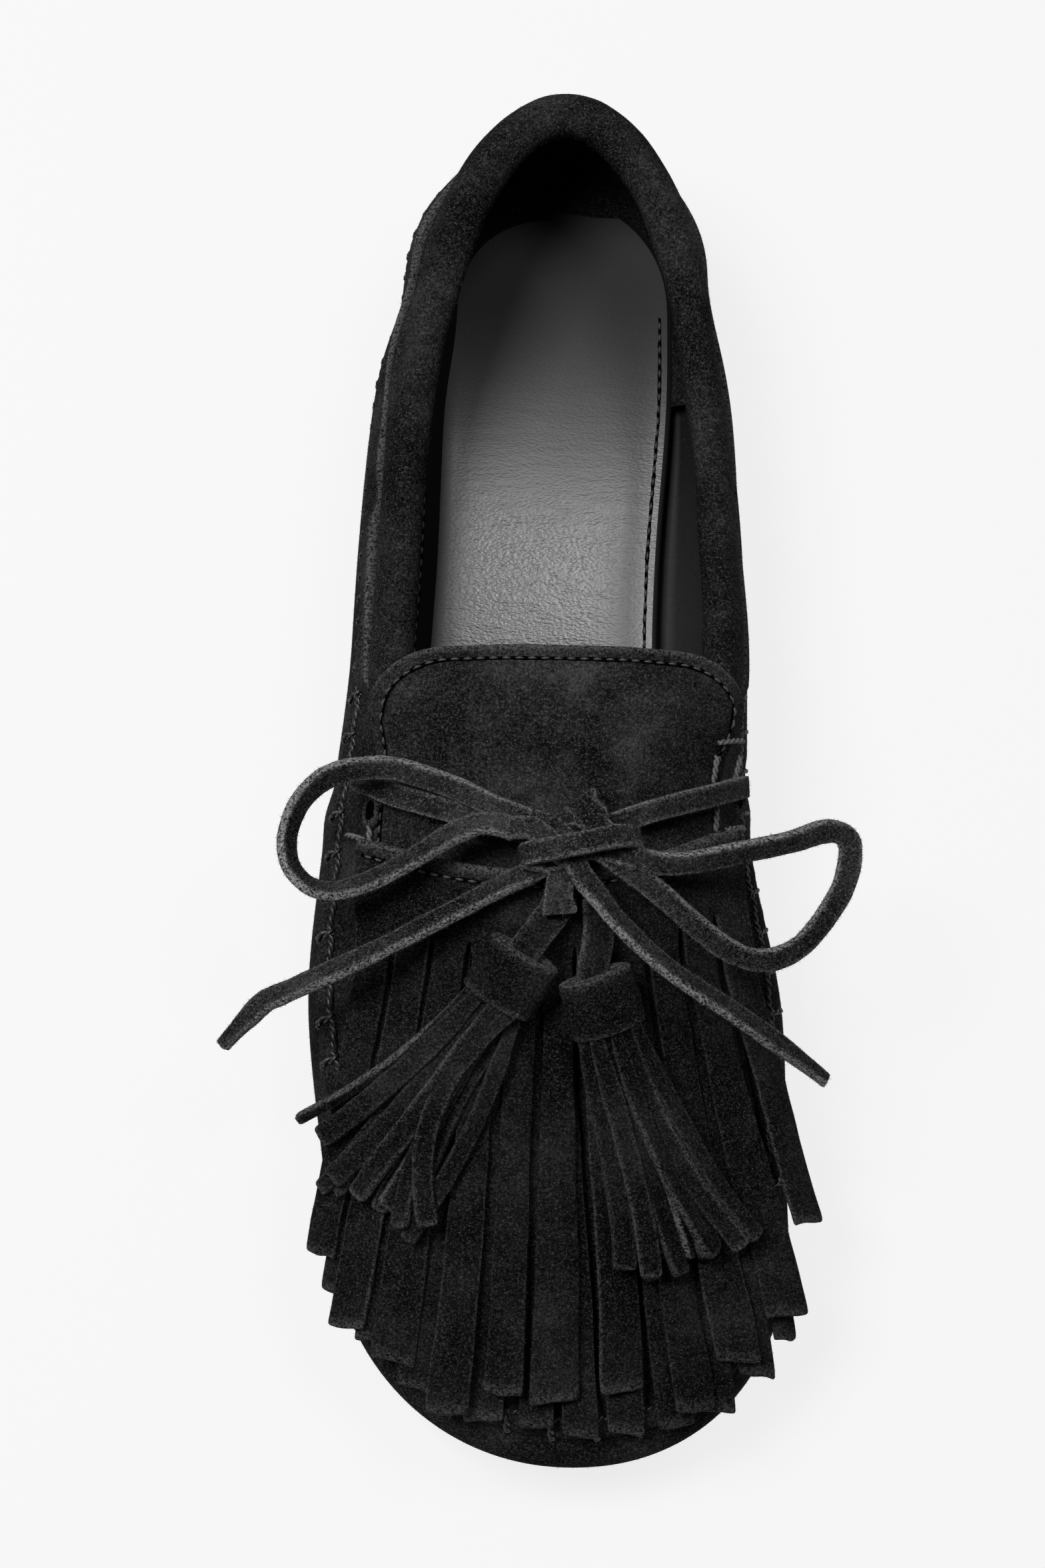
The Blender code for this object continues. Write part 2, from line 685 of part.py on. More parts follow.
def make_tongue():
    """The flat saddle over the instep, with two rounded corners at the throat."""
    bm = bmesh.new()
    first = y_at(THROAT_SHARE) + TONGUE_OVERHANG
    last = y_at(TONGUE_END)
    rows, across = 7, 14
    grid = []
    for r in range(rows + 1):
        u = r / rows
        line = []
        for k in range(across + 1):
            w = math.sin(math.radians(-90 + 180 * k / across))
            half = seam_half(share_at(first)) * TONGUE_HALF
            corner = max(0.0, abs(w) * half - (half - TONGUE_CORNER))
            drop = TONGUE_CORNER - math.sqrt(max(TONGUE_CORNER**2 - corner**2, 0.0))
            y = blend(first - drop, last, u**1.2)
            share = share_at(y)
            x = section(share, "centre") * BALL_WIDTH + w * seam_half(share) * TONGUE_HALF
            line.append(bm.verts.new(crown_point(x, y, tongue_lift(x, y))))
        grid.append(line)
    for a, b in zip(grid, grid[1:]):
        for k in range(across):
            add_face(bm, [a[k], b[k], b[k + 1], a[k + 1]])
    thicken(bm, TONGUE_THICKNESS)
    return add_object("tongue", bm)


def kiltie_top_y(w):
    """The kiltie's upper edge: a smile across the vamp, higher on the medial side."""
    return y_at(KILTIE_TOP) + KILTIE_SMILE * w * w + KILTIE_SKEW * w


def kiltie_lift(y, layer):
    """Height of a fringe layer's upper face over the crown. It steps down past the tongue."""
    tongue = (TONGUE_THICKNESS + LAYER_GAP) * (1 - ease(share_at(y), TONGUE_END, TONGUE_END + 0.05))
    return tongue + LAYER_GAP + FRINGE_THICKNESS + layer * (FRINGE_THICKNESS + FRINGE_GAP)


def over_seam(x, y):
    """Extra height where a strand crosses the raised seam."""
    share = share_at(y)
    body = min(share, TOE_POLE)
    dx = abs(x - section(share, "centre") * BALL_WIDTH) / seam_half(body)
    dy = max(y_at(TOE_POLE) - y, 0.0) / TOE_SEAM_RADIUS
    across = (dx**CAP_POWER + dy**CAP_POWER) ** (1 / CAP_POWER)
    return (SEAM_RIDGE + LAYER_GAP) * ease(across, 0.70, 0.90)


def fringe_point(x, y, layer):
    return crown_point(x, y, kiltie_lift(y, layer) + over_seam(x, y))


def make_fringe(name, strands, layer, shift):
    """A layer of the kiltie: a band over the vamp whose lower part is slit into strands."""
    bm = bmesh.new()
    count = len(strands)
    half = KILTIE_HALF - shift
    edges = []
    for i in range(count):
        low, high = -half + 2 * half * i / count, -half + 2 * half * (i + 1) / count
        edges += [low, high]
    band_rows = 3
    grid = []
    for r in range(band_rows + 1):
        line = []
        for k, w in enumerate(edges):
            y = kiltie_top_y(w) - SLIT_START * r / band_rows
            share = share_at(y)
            outer = k in (0, len(edges) - 1)
            side = 0.0 if outer else (SLIT / 2 if k % 2 == 0 else -SLIT / 2)
            x = section(share, "centre") * BALL_WIDTH + w * seam_half(share) + side
            line.append(bm.verts.new(fringe_point(x, y, layer)))
        grid.append(line)
    for a, b in zip(grid, grid[1:]):
        for k in range(len(edges) - 1):
            add_face(bm, [a[k], b[k], b[k + 1], a[k + 1]])
    for i, strand in enumerate(strands):
        end = named(STRAND_COLUMNS, strand)
        starts = (grid[-1][2 * i], grid[-1][2 * i + 1])
        middle = end["across"] * BALL_WIDTH
        end_y = y_at(end["along"])
        tips = (middle - end["width"] * BALL_WIDTH / 2, middle + end["width"] * BALL_WIDTH / 2)
        places = [(v.co.x, v.co.y) for v in starts]
        previous = starts
        for s in range(1, STRAND_STEPS + 1):
            u = s / STRAND_STEPS
            following = []
            for (x0, y0), x1 in zip(places, tips):
                x = blend(x0, x1, u)
                y = blend(y0, end_y, u)
                following.append(bm.verts.new(fringe_point(x, y, layer)))
            add_face(bm, [previous[0], following[0], following[1], previous[1]])
            previous = following
    thicken(bm, FRINGE_THICKNESS)
    return add_object(name, bm)


def smooth_route(points, steps):
    """Places on a smooth curve through hand-chosen points, in metres, with any fourth value kept."""
    rows = [Vector(tuple(p)) for p in points]
    size = len(rows[0])
    found = []
    for i in range(len(rows) - 1):
        a = rows[max(i - 1, 0)]
        b, c = rows[i], rows[i + 1]
        d = rows[min(i + 2, len(rows) - 1)]
        for s in range(steps):
            u = s / steps
            place = [0.5 * (2 * b[n] + (c[n] - a[n]) * u + (2 * a[n] - 5 * b[n] + 4 * c[n] - d[n]) * u * u
                            + (3 * b[n] - 3 * c[n] + d[n] - a[n]) * u**3) for n in range(size)]
            found.append(place)
    found.append(list(rows[-1]))
    return found


def drawn_plan(x, y):
    """A drawn place in plan, on this last."""
    return x / DRAWN_WIDTH * BALL_WIDTH, y_at((DRAWN_BACK - y) / DRAWN_LENGTH)


def drawn_place(row):
    """A drawn place in space, on this last."""
    return Vector((*drawn_plan(row[0], row[1]), row[2] / DRAWN_RISE * INSTEP_RISE))


def sweep_ribbon(bm, places, turns, width, thickness, ups=None):
    """A flat thong along places: turns lean its flat side, in degrees, from lying flat."""
    lines = []
    for i, place in enumerate(places):
        before, after = places[max(i - 1, 0)], places[min(i + 1, len(places) - 1)]
        tangent = (after - before).normalized()
        up = ups[i] if ups else Vector((0, 0, 1))
        side = tangent.cross(up).normalized()
        up = side.cross(tangent).normalized()
        a = math.radians(turns[i])
        wide = side * math.cos(a) + up * math.sin(a)
        thick = tangent.cross(wide).normalized()
        corners = ((-1, -1), (1, -1), (1, 1), (-1, 1))
        wide *= width / 2
        thick *= thickness / 2
        lines.append([bm.verts.new(place + wide * p + thick * q) for p, q in corners])
    for a, b in zip(lines, lines[1:]):
        for k in range(4):
            add_face(bm, [a[k], a[(k + 1) % 4], b[(k + 1) % 4], b[k]])
    bm.faces.new(lines[0][::-1])
    bm.faces.new(lines[-1])


def make_thong(name, route, steps=2):
    """A free thong along its hand-chosen route."""
    bm = bmesh.new()
    rows = smooth_route(route, steps)
    places = [drawn_place(row) for row in rows]
    sweep_ribbon(bm, places, [row[3] for row in rows], THONG_WIDTH, THONG_THICKNESS)
    return add_object(name, bm)


def make_laid_ribbon(name, route, lift, width, thickness, steps=3):
    """A thong that lies on the shoe, its lower face lift above the crown."""
    bm = bmesh.new()
    rows = smooth_route(route, steps)
    plan = [drawn_plan(row[0], row[1]) for row in rows]
    places = [crown_point(x, y, lift(x, y) + thickness / 2) for x, y in plan]
    ups = [crown_normal(x, y) for x, y in plan]
    sweep_ribbon(bm, places, [0.0] * len(places), width, thickness, ups)
    return add_object(name, bm)


def crossing_lift(x, y):
    return tongue_lift(x, y) + FRINGE_GAP


def cover_lift(y):
    """Height of the kiltie's upper layer over the crown, where the tassels lie."""
    return kiltie_lift(y, 1) + FRINGE_GAP


def strap_lift(x, y):
    return cover_lift(y)


def make_knot():
    """The bow's knot: a soft block, longer across the foot."""
    x, y = drawn_plan(*KNOT_PLACE)
    low = crown_height(x, y) + cover_lift(y) + KNOT_CLEAR
    bm = bmesh.new()
    bmesh.ops.create_cube(bm, size=1.0)
    bmesh.ops.subdivide_edges(bm, edges=bm.edges, cuts=3, use_grid_fill=True)
    for v in bm.verts:
        rounded = v.co.normalized() * 0.5
        v.co = v.co.lerp(rounded, 0.55)
        v.co = Vector(c * s for c, s in zip(v.co, KNOT_SIZE))
        v.co += Vector((x, y, low + KNOT_SIZE[2] / 2))
    return add_object("bow_knot", bm)


def rounded_place(u, v):
    """A square's place moved onto a square with well rounded corners."""
    return u * math.sqrt(1 - v * v / 4), v * math.sqrt(1 - u * u / 4)


def make_tassel(name, tassel):
    """A rolled cap with two layers of strands that fan out over the fringe."""
    facts = named(TASSEL_COLUMNS, tassel)
    x0, y0 = drawn_plan(*facts["place"])
    heading = math.radians(facts["heading"])
    down = Vector((math.sin(heading), -math.cos(heading), 0))
    far = Vector((x0, y0, 0)) + down * CAP_LENGTH
    bed = [crown_height(p.x, p.y) + cover_lift(p.y) for p in (Vector((x0, y0, 0)), far)]
    axis = (down * CAP_LENGTH + Vector((0, 0, bed[1] - bed[0]))).normalized()
    side = axis.cross(Vector((0, 0, 1))).normalized()
    up = side.cross(axis).normalized()
    head = Vector((x0, y0, bed[0])) + up * (CAP_THICKNESS / 2 + TASSEL_CLEAR)
    bm = bmesh.new()
    lines = []
    for depth in (0.0, 0.08, 0.5, 0.92, 1.0):
        grow = 0.94 if depth in (0.0, 1.0) else 1.0
        plane = {}
        for i in range(TASSEL_ACROSS + 1):
            for j in range(3):
                a, b = rounded_place(-1 + 2 * i / TASSEL_ACROSS, j - 1)
                if depth not in (0.0, 1.0) and 0 < i < TASSEL_ACROSS and j == 1:
                    continue
                offset = side * a * CAP_WIDTH / 2 * grow + up * b * CAP_THICKNESS / 2 * grow
                plane[i, j] = bm.verts.new(head + axis * CAP_LENGTH * depth + offset)
        lines.append(plane)
    rim = [(i, 0) for i in range(TASSEL_ACROSS)] + [(TASSEL_ACROSS, 0), (TASSEL_ACROSS, 1)]
    rim += [(i, 2) for i in range(TASSEL_ACROSS, 0, -1)] + [(0, 2), (0, 1)]
    for a, b in zip(lines, lines[1:]):
        for k, here in enumerate(rim):
            there = rim[(k + 1) % len(rim)]
            add_face(bm, [a[here], a[there], b[there], b[here]])
    cells = [(i, j) for i in range(TASSEL_ACROSS) for j in range(2)]
    for i, j in cells:
        top = [lines[0][c] for c in ((i, j), (i, j + 1), (i + 1, j + 1), (i + 1, j))]
        bm.faces.new(top)
        foot = [lines[-1][c] for c in ((i, j), (i + 1, j), (i + 1, j + 1), (i, j + 1))]
        grow_strand(bm, foot, i, j, facts, head, down, axis)
    return add_object(name, bm)


def grow_strand(bm, foot, i, j, facts, head, down, axis):
    """One strand of a tassel, grown out of a cell of its cap's lower face."""
    middle = sum((v.co for v in foot), Vector()) / 4
    inner = [bm.verts.new(middle + (v.co - middle) * 0.76) for v in foot]
    for k in range(4):
        bm.faces.new([foot[k], foot[(k + 1) % 4], inner[(k + 1) % 4], inner[k]])
    share = (i + 0.5) / TASSEL_ACROSS * 2 - 1
    lean = -math.radians(facts["fan"] * share)
    turned = Vector((down.x * math.cos(lean) - down.y * math.sin(lean),
                     down.x * math.sin(lean) + down.y * math.cos(lean), 0))
    pitch = 0.84 * CAP_WIDTH / TASSEL_ACROSS
    steps = 6
    length = TASSEL_LENGTH * (1 - 0.04 * ((i + j) % 3))
    previous = inner
    for s in range(1, steps + 1):
        u = s / steps
        reach = length * u
        plan = middle + (down * (1 - u) + turned * u).normalized() * reach
        spread = 2 * reach * math.sin(math.radians(facts["fan"]) * u) / TASSEL_ACROSS
        width = min(TASSEL_STRAND, 0.80 * (pitch + spread))
        bed = crown_height(plan.x, plan.y) + cover_lift(plan.y) + over_seam(plan.x, plan.y)
        rest = bed + TASSEL_CLEAR + j * (STRAND_THICKNESS + STRAND_GAP) + STRAND_THICKNESS / 2
        settle = ease(u, 0.0, TASSEL_SETTLE)
        straight = middle.z + axis.z * reach
        place = Vector((plan.x, plan.y, blend(straight, rest, settle)))
        place.z = max(place.z, rest)
        normal = crown_normal(plan.x, plan.y)
        wide = turned.cross(normal).normalized()
        thick = blend(CAP_THICKNESS * 0.24, STRAND_THICKNESS, ease(u, 0.0, 0.3))
        corners = ((-1, -1), (1, -1), (1, 1), (-1, 1))
        wide *= width / 2
        normal *= thick / 2
        line = [bm.verts.new(place + wide * p + normal * q) for p, q in corners]
        for k in range(4):
            bm.faces.new([previous[k], previous[(k + 1) % 4], line[(k + 1) % 4], line[k]])
        previous = line
    bm.faces.new(previous)


def main():
    make_upper()
    make_outsole()
    make_heel()
    make_insole()
    make_collar()
    make_tongue()
    make_fringe("kiltie_under", UNDER_STRANDS, 0, 0.03)
    make_fringe("kiltie_over", OVER_STRANDS, 1, 0.0)
    make_laid_ribbon("lace_crossing", CROSSING_ROUTE, crossing_lift, THONG_WIDTH, THONG_THICKNESS)
    make_knot()
    make_thong("bow_loop_lateral", LOOP_LATERAL)
    make_thong("bow_loop_medial", LOOP_MEDIAL)
    make_thong("lace_end_lateral", END_LATERAL)
    make_thong("lace_end_medial", END_MEDIAL)
    make_laid_ribbon("tassel_strap_lateral", STRAP_LATERAL, strap_lift, STRAP_WIDTH, STRAND_THICKNESS)
    make_laid_ribbon("tassel_strap_medial", STRAP_MEDIAL, strap_lift, STRAP_WIDTH, STRAND_THICKNESS)
    make_tassel("tassel_lateral", TASSEL_LATERAL)
    make_tassel("tassel_medial", TASSEL_MEDIAL)


main()
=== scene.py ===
"""Looks of the kiltie loafer: suede, fringe, thongs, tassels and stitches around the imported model."""

import math
import random

import bmesh
import bpy
import numpy
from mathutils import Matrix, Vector, noise


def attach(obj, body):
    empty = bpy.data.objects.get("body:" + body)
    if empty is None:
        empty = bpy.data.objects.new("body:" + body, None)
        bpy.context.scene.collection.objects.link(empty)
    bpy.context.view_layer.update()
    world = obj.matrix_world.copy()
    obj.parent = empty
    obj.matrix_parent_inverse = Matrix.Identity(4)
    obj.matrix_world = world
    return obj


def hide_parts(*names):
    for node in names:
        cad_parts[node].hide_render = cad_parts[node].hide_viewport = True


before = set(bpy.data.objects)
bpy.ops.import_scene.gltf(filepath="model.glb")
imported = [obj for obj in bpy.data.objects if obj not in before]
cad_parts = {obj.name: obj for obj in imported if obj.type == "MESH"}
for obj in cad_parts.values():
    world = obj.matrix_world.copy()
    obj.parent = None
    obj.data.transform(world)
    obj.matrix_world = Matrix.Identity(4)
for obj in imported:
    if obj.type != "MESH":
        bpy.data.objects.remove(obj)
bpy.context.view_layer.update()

MM = 0.001
ROOT = "root"

# The last and its pieces, with the model's own sizes
LENGTH = 258 * MM
BALL_WIDTH = 90 * MM
BACK_RISE = 41 * MM
INSTEP_RISE = 53 * MM
SEAM_RISE = 25 * MM
HEEL_RADIUS = 30 * MM
TOE_RADIUS = 46 * MM
SOLE_THICKNESS = 3.5 * MM
HEEL_LIFT = 5 * MM
TOE_SPRING = 5 * MM
INSOLE_THICKNESS = 2.6 * MM
GAP = 0.3 * MM
WALL = 2.0 * MM
MARGIN = 10 * MM
SEAM_RIDGE = 1.1 * MM
SEAM_HALF = 2.3 * MM
SEAM_INSET_TOE = 7 * MM
COLLAR_HALF_WIDTH = 4.2 * MM
COLLAR_OVER = 3.6 * MM
COLLAR_UNDER = 4.4 * MM
TONGUE_THICKNESS = 1.8 * MM
TONGUE_OVERHANG = 5.0 * MM
TONGUE_CORNER = 9 * MM
TONGUE_CLIMB = 4.6 * MM
FRINGE_THICKNESS = 1.4 * MM
LAYER_GAP = 0.4 * MM
FRINGE_GAP = 1.0 * MM
SLIT = 0.5 * MM
THONG_WIDTH = 4.2 * MM
THONG_THICKNESS = 1.8 * MM
STRAP_WIDTH = 6 * MM
CAP_WIDTH = 15 * MM
CAP_THICKNESS = 8 * MM
CAP_LENGTH = 11 * MM
TASSEL_LENGTH = 44 * MM
STRAND_THICKNESS = 1.3 * MM

# Sections along the last. Shares of the length from the back (share), of the ball width (centre, half,
# foot_centre, foot_half, seam_inset) and of the seam's and the instep's rise above the sole (seam, crown).
# Power is the exponent of the crown's arch.
SECTION_COLUMNS = ("share", "centre", "half", "foot_centre", "foot_half", "seam_inset",
                   "seam", "crown", "power")
SECTIONS = (
    (0.00, 0.006, 0.330, 0.000, 0.308, 0.013, 0.72, 0.80, 3.6),
    (0.12, -0.005, 0.331, -0.003, 0.306, 0.013, 0.72, 0.85, 3.6),
    (0.20, -0.020, 0.376, -0.020, 0.317, 0.016, 0.74, 0.90, 3.6),
    (0.32, -0.017, 0.412, -0.041, 0.310, 0.020, 0.82, 0.96, 3.6),
    (0.40, -0.016, 0.426, -0.052, 0.314, 0.024, 0.93, 0.99, 3.6),
    (0.46, -0.025, 0.434, -0.054, 0.342, 0.028, 1.02, 1.00, 3.6),
    (0.55, -0.042, 0.456, -0.050, 0.400, 0.032, 1.02, 0.915, 3.0),
    (0.68, -0.024, 0.500, -0.020, 0.456, 0.038, 0.98, 0.755, 2.5),
    (0.82, 0.000, 0.480, 0.002, 0.440, 0.050, 0.90, 0.590, 2.2),
    (1.00, 0.027, 0.472, 0.024, 0.432, 0.060, 0.64, 0.560, 2.2),
)

# The topline: shares of the ball width (centre, half) and of the back's rise above the sole (top).
TOPLINE_COLUMNS = ("share", "centre", "half", "top")
TOPLINE = (
    (0.00, 0.000, 0.322, 1.00),
    (0.12, -0.002, 0.322, 0.945),
    (0.20, -0.008, 0.326, 0.865),
    (0.32, -0.010, 0.344, 0.835),
    (0.40, -0.013, 0.354, 0.865),
    (0.46, -0.018, 0.360, 0.890),
)

# The sole's underside: shares of the heel's lift and of the toe's spring, along the length.
UNDERSIDE_COLUMNS = ("share", "lift", "spring")
UNDERSIDE = (
    (0.00, 1.00, 0.0),
    (0.22, 1.00, 0.0),
    (0.34, 0.72, 0.0),
    (0.44, 0.25, 0.0),
    (0.52, 0.00, 0.0),
    (0.80, 0.00, 0.0),
    (0.88, 0.00, 0.14),
    (0.94, 0.00, 0.45),
    (1.00, 0.00, 1.0),
)

# The wall: its widest level, how far its ends draw in, and the powers of the ends' rounded plan
WIDEST = 0.60
HEEL_FOOT_INSET = 1.8 * MM
TOE_FOOT_INSET = 3.5 * MM
HEEL_SEAM_INSET = 1.2 * MM
HEEL_TOP_INSET = 3.2 * MM
CAP_POWER = 2.1
TOP_CAP_POWER = 1.95
TOP_POLE = 0.29

# Columns round the heel, along a side and round the toe, and rows of the apron
HEEL_STEPS = 5
SIDE_STEPS = 18
TOE_STEPS = 7
APRON_ROWS = 5

# The throat, where the opening ends, and the front end of the collar
THROAT_SHARE = 0.457
COLLAR_END = 0.82
THROAT_CORNER = 0.86

# The kiltie and the tongue: places along the length, and half widths as shares of the seam's
KILTIE_TOP = 0.591
KILTIE_SMILE = 13.5 * MM
KILTIE_SKEW = 1.8 * MM
KILTIE_HALF = 0.79
SLIT_START = 13 * MM
TONGUE_END = 0.615
TONGUE_HALF = 0.81

# Fringe strands: end place across (share of the ball width) and along (share of the length), and end width
# (share of the ball width), from the lateral side to the medial one.
OVER_STRANDS = (
    (-0.462, 0.850, 0.056),
    (-0.410, 0.898, 0.074),
    (-0.335, 0.922, 0.084),
    (-0.222, 0.953, 0.080),
    (-0.118, 0.942, 0.072),
    (-0.020, 0.948, 0.096),
    (0.110, 0.943, 0.086),
    (0.238, 0.952, 0.084),
    (0.328, 0.922, 0.086),
    (0.412, 0.890, 0.084),
    (0.476, 0.829, 0.070),
)
UNDER_STRANDS = (
    (-0.442, 0.876, 0.062),
    (-0.372, 0.908, 0.060),
    (-0.283, 0.940, 0.068),
    (-0.150, 0.962, 0.078),
    (-0.055, 0.967, 0.066),
    (0.030, 0.973, 0.072),
    (0.122, 0.973, 0.072),
    (0.220, 0.966, 0.078),
    (0.292, 0.956, 0.068),
    (0.376, 0.932, 0.070),
    (0.436, 0.908, 0.050),
)

# Routes of the thongs, in millimetres, each with the turn of its flat side in degrees. The
# crossing and the straps lie on the shoe, so their routes are in plan. The crossing is bridged a little.
CROSSING_ROUTE = (
    (-36.0, -104.0), (-28.9, -108.6), (-17.2, -113.6), (-6.0, -116.6), (3.0, -115.6), (13.3, -111.4),
    (24.5, -106.4), (30.0, -103.6),
)
CROSSING_BRIDGE = 1.3 * MM
LOOP_LATERAL = (
    (-8.5, -116.1, 59.4, 20), (-14.3, -113.5, 58.6, 30), (-21.5, -109.9, 57.8, 35),
    (-32.1, -106.1, 56.2, 40), (-39.3, -105.7, 54.6, 45), (-45.1, -107.1, 52.8, 50),
    (-49.6, -111.3, 51.2, 55), (-51.7, -117.1, 50.4, 55), (-51.3, -122.3, 50.6, 55),
    (-48.6, -126.1, 51.4, 50), (-44.6, -127.9, 52.8, 45), (-40.0, -127.5, 54.6, 40),
    (-35.0, -125.8, 56.4, 40), (-28.2, -122.3, 58.8, 35), (-22.9, -119.3, 60.9, 30),
    (-17.6, -117.5, 62.9, 25), (-14.0, -118.0, 63.6, 20), (-11.5, -118.9, 64.0, 15),
)
LOOP_MEDIAL = (
    (10.0, -122.6, 61.0, -15), (14.4, -123.8, 60.6, -35), (20.4, -123.4, 60.0, -45),
    (30.2, -121.0, 58.6, -50), (39.2, -118.6, 56.8, -45), (45.3, -116.2, 55.0, -35),
    (49.2, -116.4, 53.6, -20), (50.6, -119.2, 52.6, 0), (49.4, -125.4, 51.4, 15), (45.5, -132.0, 51.0, 25),
    (40.6, -137.2, 51.4, 30), (35.6, -139.4, 52.0, 35), (31.2, -139.3, 52.9, 35), (26.3, -137.3, 54.2, 35),
    (21.3, -133.8, 55.9, 30), (16.1, -129.6, 57.4, 25), (12.2, -126.8, 58.8, 15), (9.8, -125.6, 59.6, 10),
)
END_LATERAL = (
    (-8.2, -125.3, 58.8, -25), (-13.5, -127.7, 57.6, -35), (-22.8, -132.5, 56.4, -40),
    (-34.3, -138.3, 54.2, -40), (-45.6, -143.2, 50.8, -35), (-52.2, -145.7, 47.4, -30),
    (-55.6, -146.9, 44.6, -30), (-59.4, -150.3, 41.4, -30), (-63.0, -153.9, 38.6, -30),
)
END_MEDIAL = (
    (1.2, -127.2, 61.2, 20), (3.4, -130.2, 61.8, 30), (6.6, -134.2, 61.6, 40), (11.4, -138.8, 60.6, 40),
    (16.6, -143.0, 59.4, 40), (22.4, -146.6, 58.0, 40), (28.6, -150.0, 55.6, 35), (38.2, -155.4, 50.6, 30),
    (46.4, -160.6, 46.2, 30),
)
STRAP_LATERAL = ((-2.6, -127.0), (-4.0, -130.0), (-6.2, -134.4))
STRAP_MEDIAL = ((3.6, -127.0), (3.8, -132.0), (3.6, -137.6))

# Tassels: where the cap starts in plan, its heading and half of the fan of its strands, in degrees
TASSEL_LATERAL = ((-8.3, -137.6), -32, 12)
TASSEL_MEDIAL = ((2.2, -141.4), 19, 9)

# The knot's runs of thong under its wrap, the wrap, and the strap's ragged ends: x, y, z and turn.
KNOT_RUNS = (
    ((-9.6, -115.4, 59.4, 25), (-5.5, -116.9, 60.6, 20), (-2.6, -119.6, 61.6, 10), (-1.4, -122.6, 62.2, 0),
     (0.1, -125.6, 62.0, 10), (2.2, -128.6, 61.6, 25)),
    ((-12.6, -118.6, 64.0, 15), (-8.8, -118.6, 64.6, 10), (-5.6, -120.6, 64.0, 5), (-3.2, -122.6, 62.4, 0),
     (-0.5, -123.8, 61.0, 0)),
    ((-9.4, -125.9, 59.0, -30), (-6.4, -124.4, 60.2, -20), (-3.0, -122.6, 61.2, -10), (1.0, -121.0, 61.4, 0),
     (5.0, -120.6, 61.2, 0)),
    ((10.4, -123.4, 61.0, -20), (7.6, -122.6, 61.8, -8), (4.6, -121.8, 61.9, 0), (1.5, -121.4, 61.6, 0)),
    ((11.4, -126.4, 59.2, 12), (8.4, -124.6, 60.6, 10), (5.2, -122.6, 61.8, 5), (2.0, -121.0, 61.6, 0)),
)
KNOT_WRAP = (
    (-1.0, -123.4, 60.0), (-6.0, -123.8, 60.0), (-9.0, -123.4, 61.0), (-9.6, -123.0, 62.8),
    (-6.6, -122.6, 64.9), (-0.4, -121.6, 65.9), (5.0, -120.3, 65.6), (9.2, -119.6, 63.8),
    (10.6, -119.8, 61.8), (8.4, -120.8, 60.2), (4.0, -121.6, 59.8),
)
KNOT_CORE = (0.4, -121.8, 62.4)
KNOT_STUBS = (
    ((4.4, -120.0, 61.0, 5), (3.2, -116.6, 60.6, 8), (1.8, -113.8, 59.4, 12), (0.6, -111.6, 58.6, 15)),
    ((-2.2, -124.6, 60.6, 0), (-3.2, -127.6, 60.2, -8), (-3.4, -130.4, 59.4, -12), (-3.0, -132.8, 58.4, -15)),
)

# Soft creases of the wall: side, share of the length, height (0 sole, 1 seam, 2 topline), turn in degrees,
# half length, half width and lift in millimetres (a trough is below 0). CREASE_RISE is the wall's rise from
# one height to the next, in millimetres, and FINE_LEVELS are the rows of the wall below the seam.
CREASES = (
    (-1, 0.185, 1.86, 4, 40, 2.0, -1.4),
    (-1, 0.200, 1.62, 6, 34, 2.6, 1.3),
    (-1, 0.190, 1.36, 9, 26, 2.2, -1.1),
    (-1, 0.300, 1.50, 40, 10, 2.2, -1.2),
    (-1, 0.322, 1.40, 44, 10, 2.4, 0.9),
    (-1, 0.400, 1.70, -6, 20, 2.4, -1.1),
    (-1, 0.395, 1.40, -10, 20, 2.8, 0.9),
    (-1, 0.095, 1.50, 20, 14, 2.6, 0.9),
    (-1, 0.505, 0.72, 68, 10, 2.2, -0.8),
    (-1, 0.530, 0.66, 74, 10, 2.4, 0.7),
    (1, 0.210, 1.84, 4, 40, 2.2, -1.1),
    (1, 0.230, 1.55, 8, 28, 2.8, 0.9),
    (1, 0.330, 1.35, -20, 14, 2.4, -0.9),
    (1, 0.400, 1.70, -4, 20, 2.4, -1.0),
    (1, 0.498, 0.72, 66, 10, 2.2, -0.8),
    (1, 0.522, 0.66, 72, 10, 2.4, 0.7),
)
CREASE_RISE = 24
FINE_LEVELS = (0.0, 0.06, 0.14, 0.24, 0.36, 0.48, 0.60, 0.70, 0.79, 0.88, 0.95, 1.0)

# Rows of the quarter above the seam: level, share of the step of its overlay, and its cut edge.
QUARTER_EDGE = 1.4 * MM
QUARTER_ROWS = (
    (0.04, 0.0, 0.0), (0.09, 0.5, 0.0), (0.14, 1.0, 0.0), (0.20, 1.0, 0.0), (0.27, 1.0, 0.0),
    (0.34, 1.0, 0.0), (0.40, 1.0, 0.0), (0.46, 1.0, 0.1), (0.50, 1.0, 0.3), (0.525, 1.0, 1.0),
    (0.545, 0.1, 0.6), (0.59, 0.0, 0.0), (0.65, 0.0, 0.0), (0.71, 0.0, 0.0), (0.78, 0.0, 0.0),
    (0.85, 0.0, 0.0), (0.92, 0.0, 0.0), (1.00, 0.0, 0.0),
)
